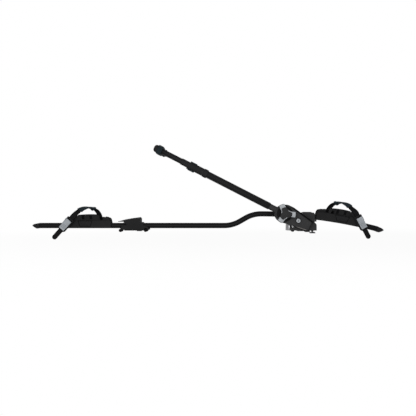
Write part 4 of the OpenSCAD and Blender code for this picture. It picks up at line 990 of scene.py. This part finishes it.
def jaw_facing(pitch, depth, at, face):
    """Rubber facing: a bar section carried across the arm, as thick as the jaw's hollow arc of radius
    JAW_PAD_R leaves it and as wide as the claw's straight taper, with grooves cut in by a power of cos, and
    rounded at both ends. It starts at x = at, and face is its sign along x."""
    v = np.linspace(-1, 1, 240)
    half = (JAW_PAD_TO - JAW_PAD_FROM) / 2
    y = (JAW_PAD_FROM + JAW_PAD_TO) / 2 + v * half
    hollow = np.sqrt(JAW_PAD_R ** 2 - (v * half) ** 2) - (JAW_PAD_R - HOLLOW_LEAST)
    groove = depth * np.clip(np.cos(np.pi * v * half / pitch) ** 2 * 1.6 - 1.1, 0, 1) * 2
    end = end_round(v, FACING_ROUND)
    thick = np.maximum(JAW_PAD_T - hollow - groove, FACING_LEAST) * (0.55 + 0.45 * end)
    taper = (y - CLAW_FROM) / (CLAW_TO - CLAW_FROM)
    wide = (1 - CLAW_TAPER * taper) * (0.985 + 0.015 * end)
    ring = rounded_bar(JAW_PAD_W, 2.0, 40, 0.3)
    x = at + face * (FACING_PROUD + (ring[:, 1] * 0.5 + 0.5) * thick[:, None])
    z = CLAW_RISE * taper[:, None] + ring[:, 0] * wide[:, None]
    return swept(grid(x, y[:, None], z))


def housing_edge(side):
    """Outline of the housing in the arm's frame as (x, z) and its outward direction: round the knob, along
    the tapered edge and down the end. side is 1 for the upper edge and -1 for the lower one."""
    lean = math.asin((HOUSING_R - HOUSING_END_H / 2) / (HOUSING_END_X - KNOB_X))
    turn = np.linspace(-0.5, lean, 16)
    circle = np.stack([KNOB_X + HOUSING_R * np.sin(turn), HOUSING_R * np.cos(turn)], -1)
    corner = np.array([HOUSING_END_X - CORNER_R, HOUSING_END_H / 2 + CORNER_UP])
    edge = circle[-1] + (corner - circle[-1]) * np.linspace(0, 1, 40)[1:, None]
    bend = np.linspace(lean, np.pi / 2, 14)[1:]
    swing = np.stack([np.sin(bend) - math.sin(lean), np.cos(bend) - math.cos(lean)], -1)
    rounded = corner + CORNER_R * swing
    end = rounded[-1] + np.array([0, -HOUSING_END_H * END_SHARE]) * np.linspace(0, 1, 24)[1:, None]
    angle = np.concatenate([turn, np.full(len(edge), lean), bend, np.full(len(end), np.pi / 2)])
    line = np.concatenate([circle, edge, rounded, end])
    out = np.stack([np.sin(angle), np.cos(angle)], -1)
    return line * [1, side], out * [1, side]


def edge_strip(line, out, thick, near, far, sunk):
    """A rounded bar section carried along a line in the arm's frame: it stands out by thick, which varies
    along the line, reaches across the arm from near to far, and is sunk into the edge that it follows."""
    ring = rounded_bar(1.0, 1.0, 28, 0.3)
    height = (thick + sunk)[:, None] * (ring[:, 1] + 0.5) - sunk
    place = line[:, None] + out[:, None] * height[..., None]
    across = (near + far) / 2 + (far - near) * ring[:, 0]
    return swept(grid(place[..., 0], across, place[..., 1]))


def housing_rim():
    """Black edge strip of the housing, painted shade that stands for the unlit upper edge and the shadow line
    at its end: it grows from the knob along the upper edge, and thins by a smooth step before the end."""
    line, out = housing_edge(1)
    run = travelled(line)
    grown = ramp(run - SHADE_RIM_FROM, SHADE_RIM_GROWTH)
    left = ramp(SHADE_RIM_TO - run, SHADE_RIM_THINNING)
    thick = SHADE_RIM_LEAST + SHADE_RIM_T * grown * (3 * left ** 2 - 2 * left ** 3) + SHADE_RIM_END_T * (1 - left)
    return edge_strip(line, out, thick, SHADE_RIM_NEAR, SHADE_RIM_FAR, SHADE_RIM_SUNK)


def housing_sill():
    """Pale strip in the rebate of the housing's lower edge, from below the lock to the end: a painted
    highlight that stands for light caught by that edge.
    """
    line, out = housing_edge(-1)
    part = (line[:, 0] > HIGHLIGHT_SILL_FROM) & (line[:, 0] < HIGHLIGHT_SILL_TO) & (line[:, 1] < -HOUSING_END_H / 2)
    line, out = line[part], out[part]
    t = np.linspace(-1, 1, len(line))
    thick = -HIGHLIGHT_SILL_BELOW - HIGHLIGHT_SILL_ROUND_T * (1 - end_round(t, HIGHLIGHT_SILL_ROUND))
    near = HIGHLIGHT_SILL_IN - HOUSING_HALF_T
    return edge_strip(line, out, thick, near, near + HIGHLIGHT_SILL_W, HIGHLIGHT_SILL_T)


def lock_bezel():
    """Ring round the key lock: a rounded profile of (radius, depth) swept about the lock's axis."""
    q = rounded_bar(BEZEL_W, BEZEL_T, 20, 0.45)
    a = np.linspace(0, 2 * np.pi, 72, endpoint=False)
    r = LOCK_D / 2 + BEZEL_OUT + q[:, :1]
    y = q[:, 1:] - HOUSING_HALF_T - BEZEL_PROUD
    return looped(grid(LOCK_X + r * np.cos(a), y, r * np.sin(a)))


class CARRIER_OT_arm(bpy.types.Operator):
    """Grooved rubber facings, housing rim of painted shade, sill of painted highlight and lock bezel, and
    finishes for the clamp arm
    """

    bl_idname, bl_label = "carrier.arm", "Clamp arm"

    def execute(self, context):
        s = context.scene.carrier_sizes
        soften_all("anodised", ["arm_profile", "inner_tube"], EXTRUSION_EDGE)
        soften_all("moulding", ["housing_outer", "housing_inner"], SHELL_EDGE)
        soften_all("jaw_coat", ["lower_jaw", "upper_jaw"], CAP_EDGE)
        soften_all("smooth_moulding", ["jaw_sleeve", "tip_cap"])
        soften_all("turned_steel", ["housing_screws"], FINE_EDGE)
        soften_all("sintered_bronze", ["hinge_bush", "screw_bearing"], METAL_EDGE)
        for name, at, sign, body in (
                ("lower", -LOWER_FACE, -1, "arm"), ("upper", -LOWER_FACE - JAW_OPEN, 1, "upper_jaw")):
            points, faces = jaw_facing(s.facing_pitch, s.facing_depth, at, sign)
            piece(f"{name}_jaw_facing", on_arm(points), faces, body, "facing_rubber",
                  [f"{name}_jaw_pad"])
        for name, (points, faces), slot, material in (
                # The housing rim is a black strip of painted shade
                ("housing_rim", housing_rim(), "foot_rubber", "foot_rubber"),
                ("lock_bezel", lock_bezel(), "foot_rubber", "foot_rubber"),
                # The sill is a pale strip of painted highlight
                ("housing_sill", housing_sill(), "grey_plastic", "sill_moulding")):
            piece(name, on_arm(points), faces, "arm", material)
        return {"FINISHED"}


class CARRIER_OT_drive(bpy.types.Operator):
    """Finishes for the knob, its drive and the key lock"""

    bl_idname, bl_label = "carrier.drive", "Knob, drive and lock"

    def execute(self, context):
        soften_all("knob_body", ["clamp_knob"], SHELL_EDGE)
        soften("knob_cap", FINE_EDGE, "knob_moulding", True)
        soften_all("pale_moulding", ["knob_grips", "lock_core"], GRIP_EDGE)
        soften_all("turned_steel", ["drive_shaft", "lead_screw", "clutch_spring"], FINE_EDGE)
        soften_all("sintered_bronze", ["clutch_disc", "drive_nut"], FINE_EDGE)
        return {"FINISHED"}


# Studio


def studio_lamp(name, at, size, energy):
    """A soft rectangular lamp that faces the carrier."""
    lamp = bpy.data.lights.new(name, "AREA")
    lamp.shape, lamp.size, lamp.size_y, lamp.energy = "RECTANGLE", size[0], size[1], energy
    made = bpy.data.objects.new(name, lamp)
    made.location = at
    made.rotation_euler = (Vector(LAMPS_AIM) - Vector(at)).to_track_quat("-Z", "Y").to_euler()
    bpy.context.scene.collection.objects.link(made)
    return made


def seen(f):
    """1 for camera, glossy and transmission rays."""
    camera, glossy, through = (
        f.node("ShaderNodeLightPath", out=f"Is {kind} Ray") for kind in ("Camera", "Glossy", "Transmission"))
    return camera.most(glossy).most(through)


def floor_finish(backdrop):
    """Pale matt floor that keeps a share of the shadow near the carrier and shows as white further off."""
    f = Finish("studio_floor")
    away = f.node("ShaderNodeVectorMath", {"operation": "LENGTH"}, {0: f.place(0, (0.7, 1, 1))}, "Value")
    speck = f.blend(f.noise(0.4, 3), (0.84, 0.84, 0.84), (0.88, 0.88, 0.88))
    shade = f.node("ShaderNodeBsdfDiffuse", None, {"Color": speck})
    glow = f.node("ShaderNodeEmission", None, {"Color": WHITE, "Strength": 1.0})
    white = seen(f) * (backdrop + away.between(0.35, 1.5) * (1 - backdrop))
    both = f.node("ShaderNodeMixShader", None, {0: white, 1: shade, 2: glow})
    f.node("ShaderNodeOutputMaterial", None, {"Surface": both})
    return f.owner


def studio_floor(low, backdrop):
    """Flat disc at height low: rings of points round a small middle face."""
    a = np.linspace(0, 2 * np.pi, FLOOR_SPOKES, endpoint=False)
    r = np.linspace(FLOOR_HOLE, FLOOR_R, FLOOR_RINGS)[:, None]
    points = grid(FLOOR_X + r * np.cos(a), r * np.sin(a), low)
    faces = quads(FLOOR_RINGS, FLOOR_SPOKES).tolist() + [list(range(FLOOR_SPOKES))]
    mesh = bpy.data.meshes.new("studio_floor")
    mesh.from_pydata(points.reshape(-1, 3).tolist(), [], faces)
    mesh.materials.append(floor_finish(backdrop))
    floor = bpy.data.objects.new("studio_floor", mesh)
    bpy.context.scene.collection.objects.link(floor)
    floor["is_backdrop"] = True


def studio_world(ambient):
    """Surroundings that look white and light the carrier by ambient."""
    w = Finish("studio", "worlds")
    dim = w.node("ShaderNodeBackground", None, {"Color": WHITE, "Strength": ambient})
    white = w.node("ShaderNodeBackground", None, {"Color": WHITE, "Strength": 1.0})
    both = w.node("ShaderNodeMixShader", None, {0: seen(w), 1: dim, 2: white})
    w.node("ShaderNodeOutputWorld", None, {"Surface": both})
    bpy.context.scene.world = w.owner


def photo_camera():
    """Camera level with the carrier and square to its side."""
    lens = bpy.data.cameras.new("photo_camera")
    lens.lens, lens.sensor_width = CAMERA_LENS, SENSOR_W
    camera = bpy.data.objects.new("photo_camera", lens)
    camera.location, camera.rotation_euler = CAMERA_AT, (math.pi / 2, 0, 0)
    bpy.context.scene.collection.objects.link(camera)
    bpy.context.scene.camera = camera


class CARRIER_OT_stage(bpy.types.Operator):
    """Pale floor, soft lamps, white surroundings and the camera"""

    bl_idname, bl_label = "carrier.stage", "Studio"

    def execute(self, context):
        s = context.scene.carrier_studio
        studio_floor(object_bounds()[0].z - context.scene.carrier_sizes.floor_gap, s.backdrop)
        studio_world(s.ambient)
        studio_lamp("front_lamp", FRONT_LAMP_AT, FRONT_LAMP_SIZE, s.front)
        back = studio_lamp("back_lamp", BACK_LAMP_AT, BACK_LAMP_SIZE, s.back)
        back.visible_glossy = False
        photo_camera()
        context.scene.view_settings.view_transform = "Standard"
        return {"FINISHED"}


class CARRIER_PT_panel(bpy.types.Panel):
    """Lists the carrier's operators and settings"""

    bl_idname, bl_label = "CARRIER_PT_panel", "Roof bike carrier"
    bl_space_type, bl_region_type, bl_category = "VIEW_3D", "UI", "Carrier"

    def draw(self, context):
        for step in STEPS:
            self.layout.operator(step.bl_idname)
        for group in GROUPS:
            settings = getattr(context.scene, group)
            for key in settings.__annotations__:
                self.layout.prop(settings, key)


STEPS = (CARRIER_OT_rail, CARRIER_OT_trays, CARRIER_OT_straps, CARRIER_OT_feet, CARRIER_OT_arm,
         CARRIER_OT_drive, CARRIER_OT_stage)
GROUPS = {"carrier_colours": CarrierColours, "carrier_sizes": CarrierSizes, "carrier_studio": CarrierStudio}
CLASSES = (*GROUPS.values(), *STEPS, CARRIER_PT_panel)


def register():
    for cls in CLASSES:
        bpy.utils.register_class(cls)
    for name, group in GROUPS.items():
        setattr(bpy.types.Scene, name, PointerProperty(type=group))


def unregister():
    for name in GROUPS:
        delattr(bpy.types.Scene, name)
    for cls in reversed(CLASSES):
        bpy.utils.unregister_class(cls)


def main():
    register()
    for step in STEPS:
        getattr(bpy.ops.carrier, step.bl_idname.split(".")[1])()


if __name__ == "__main__":
    main()
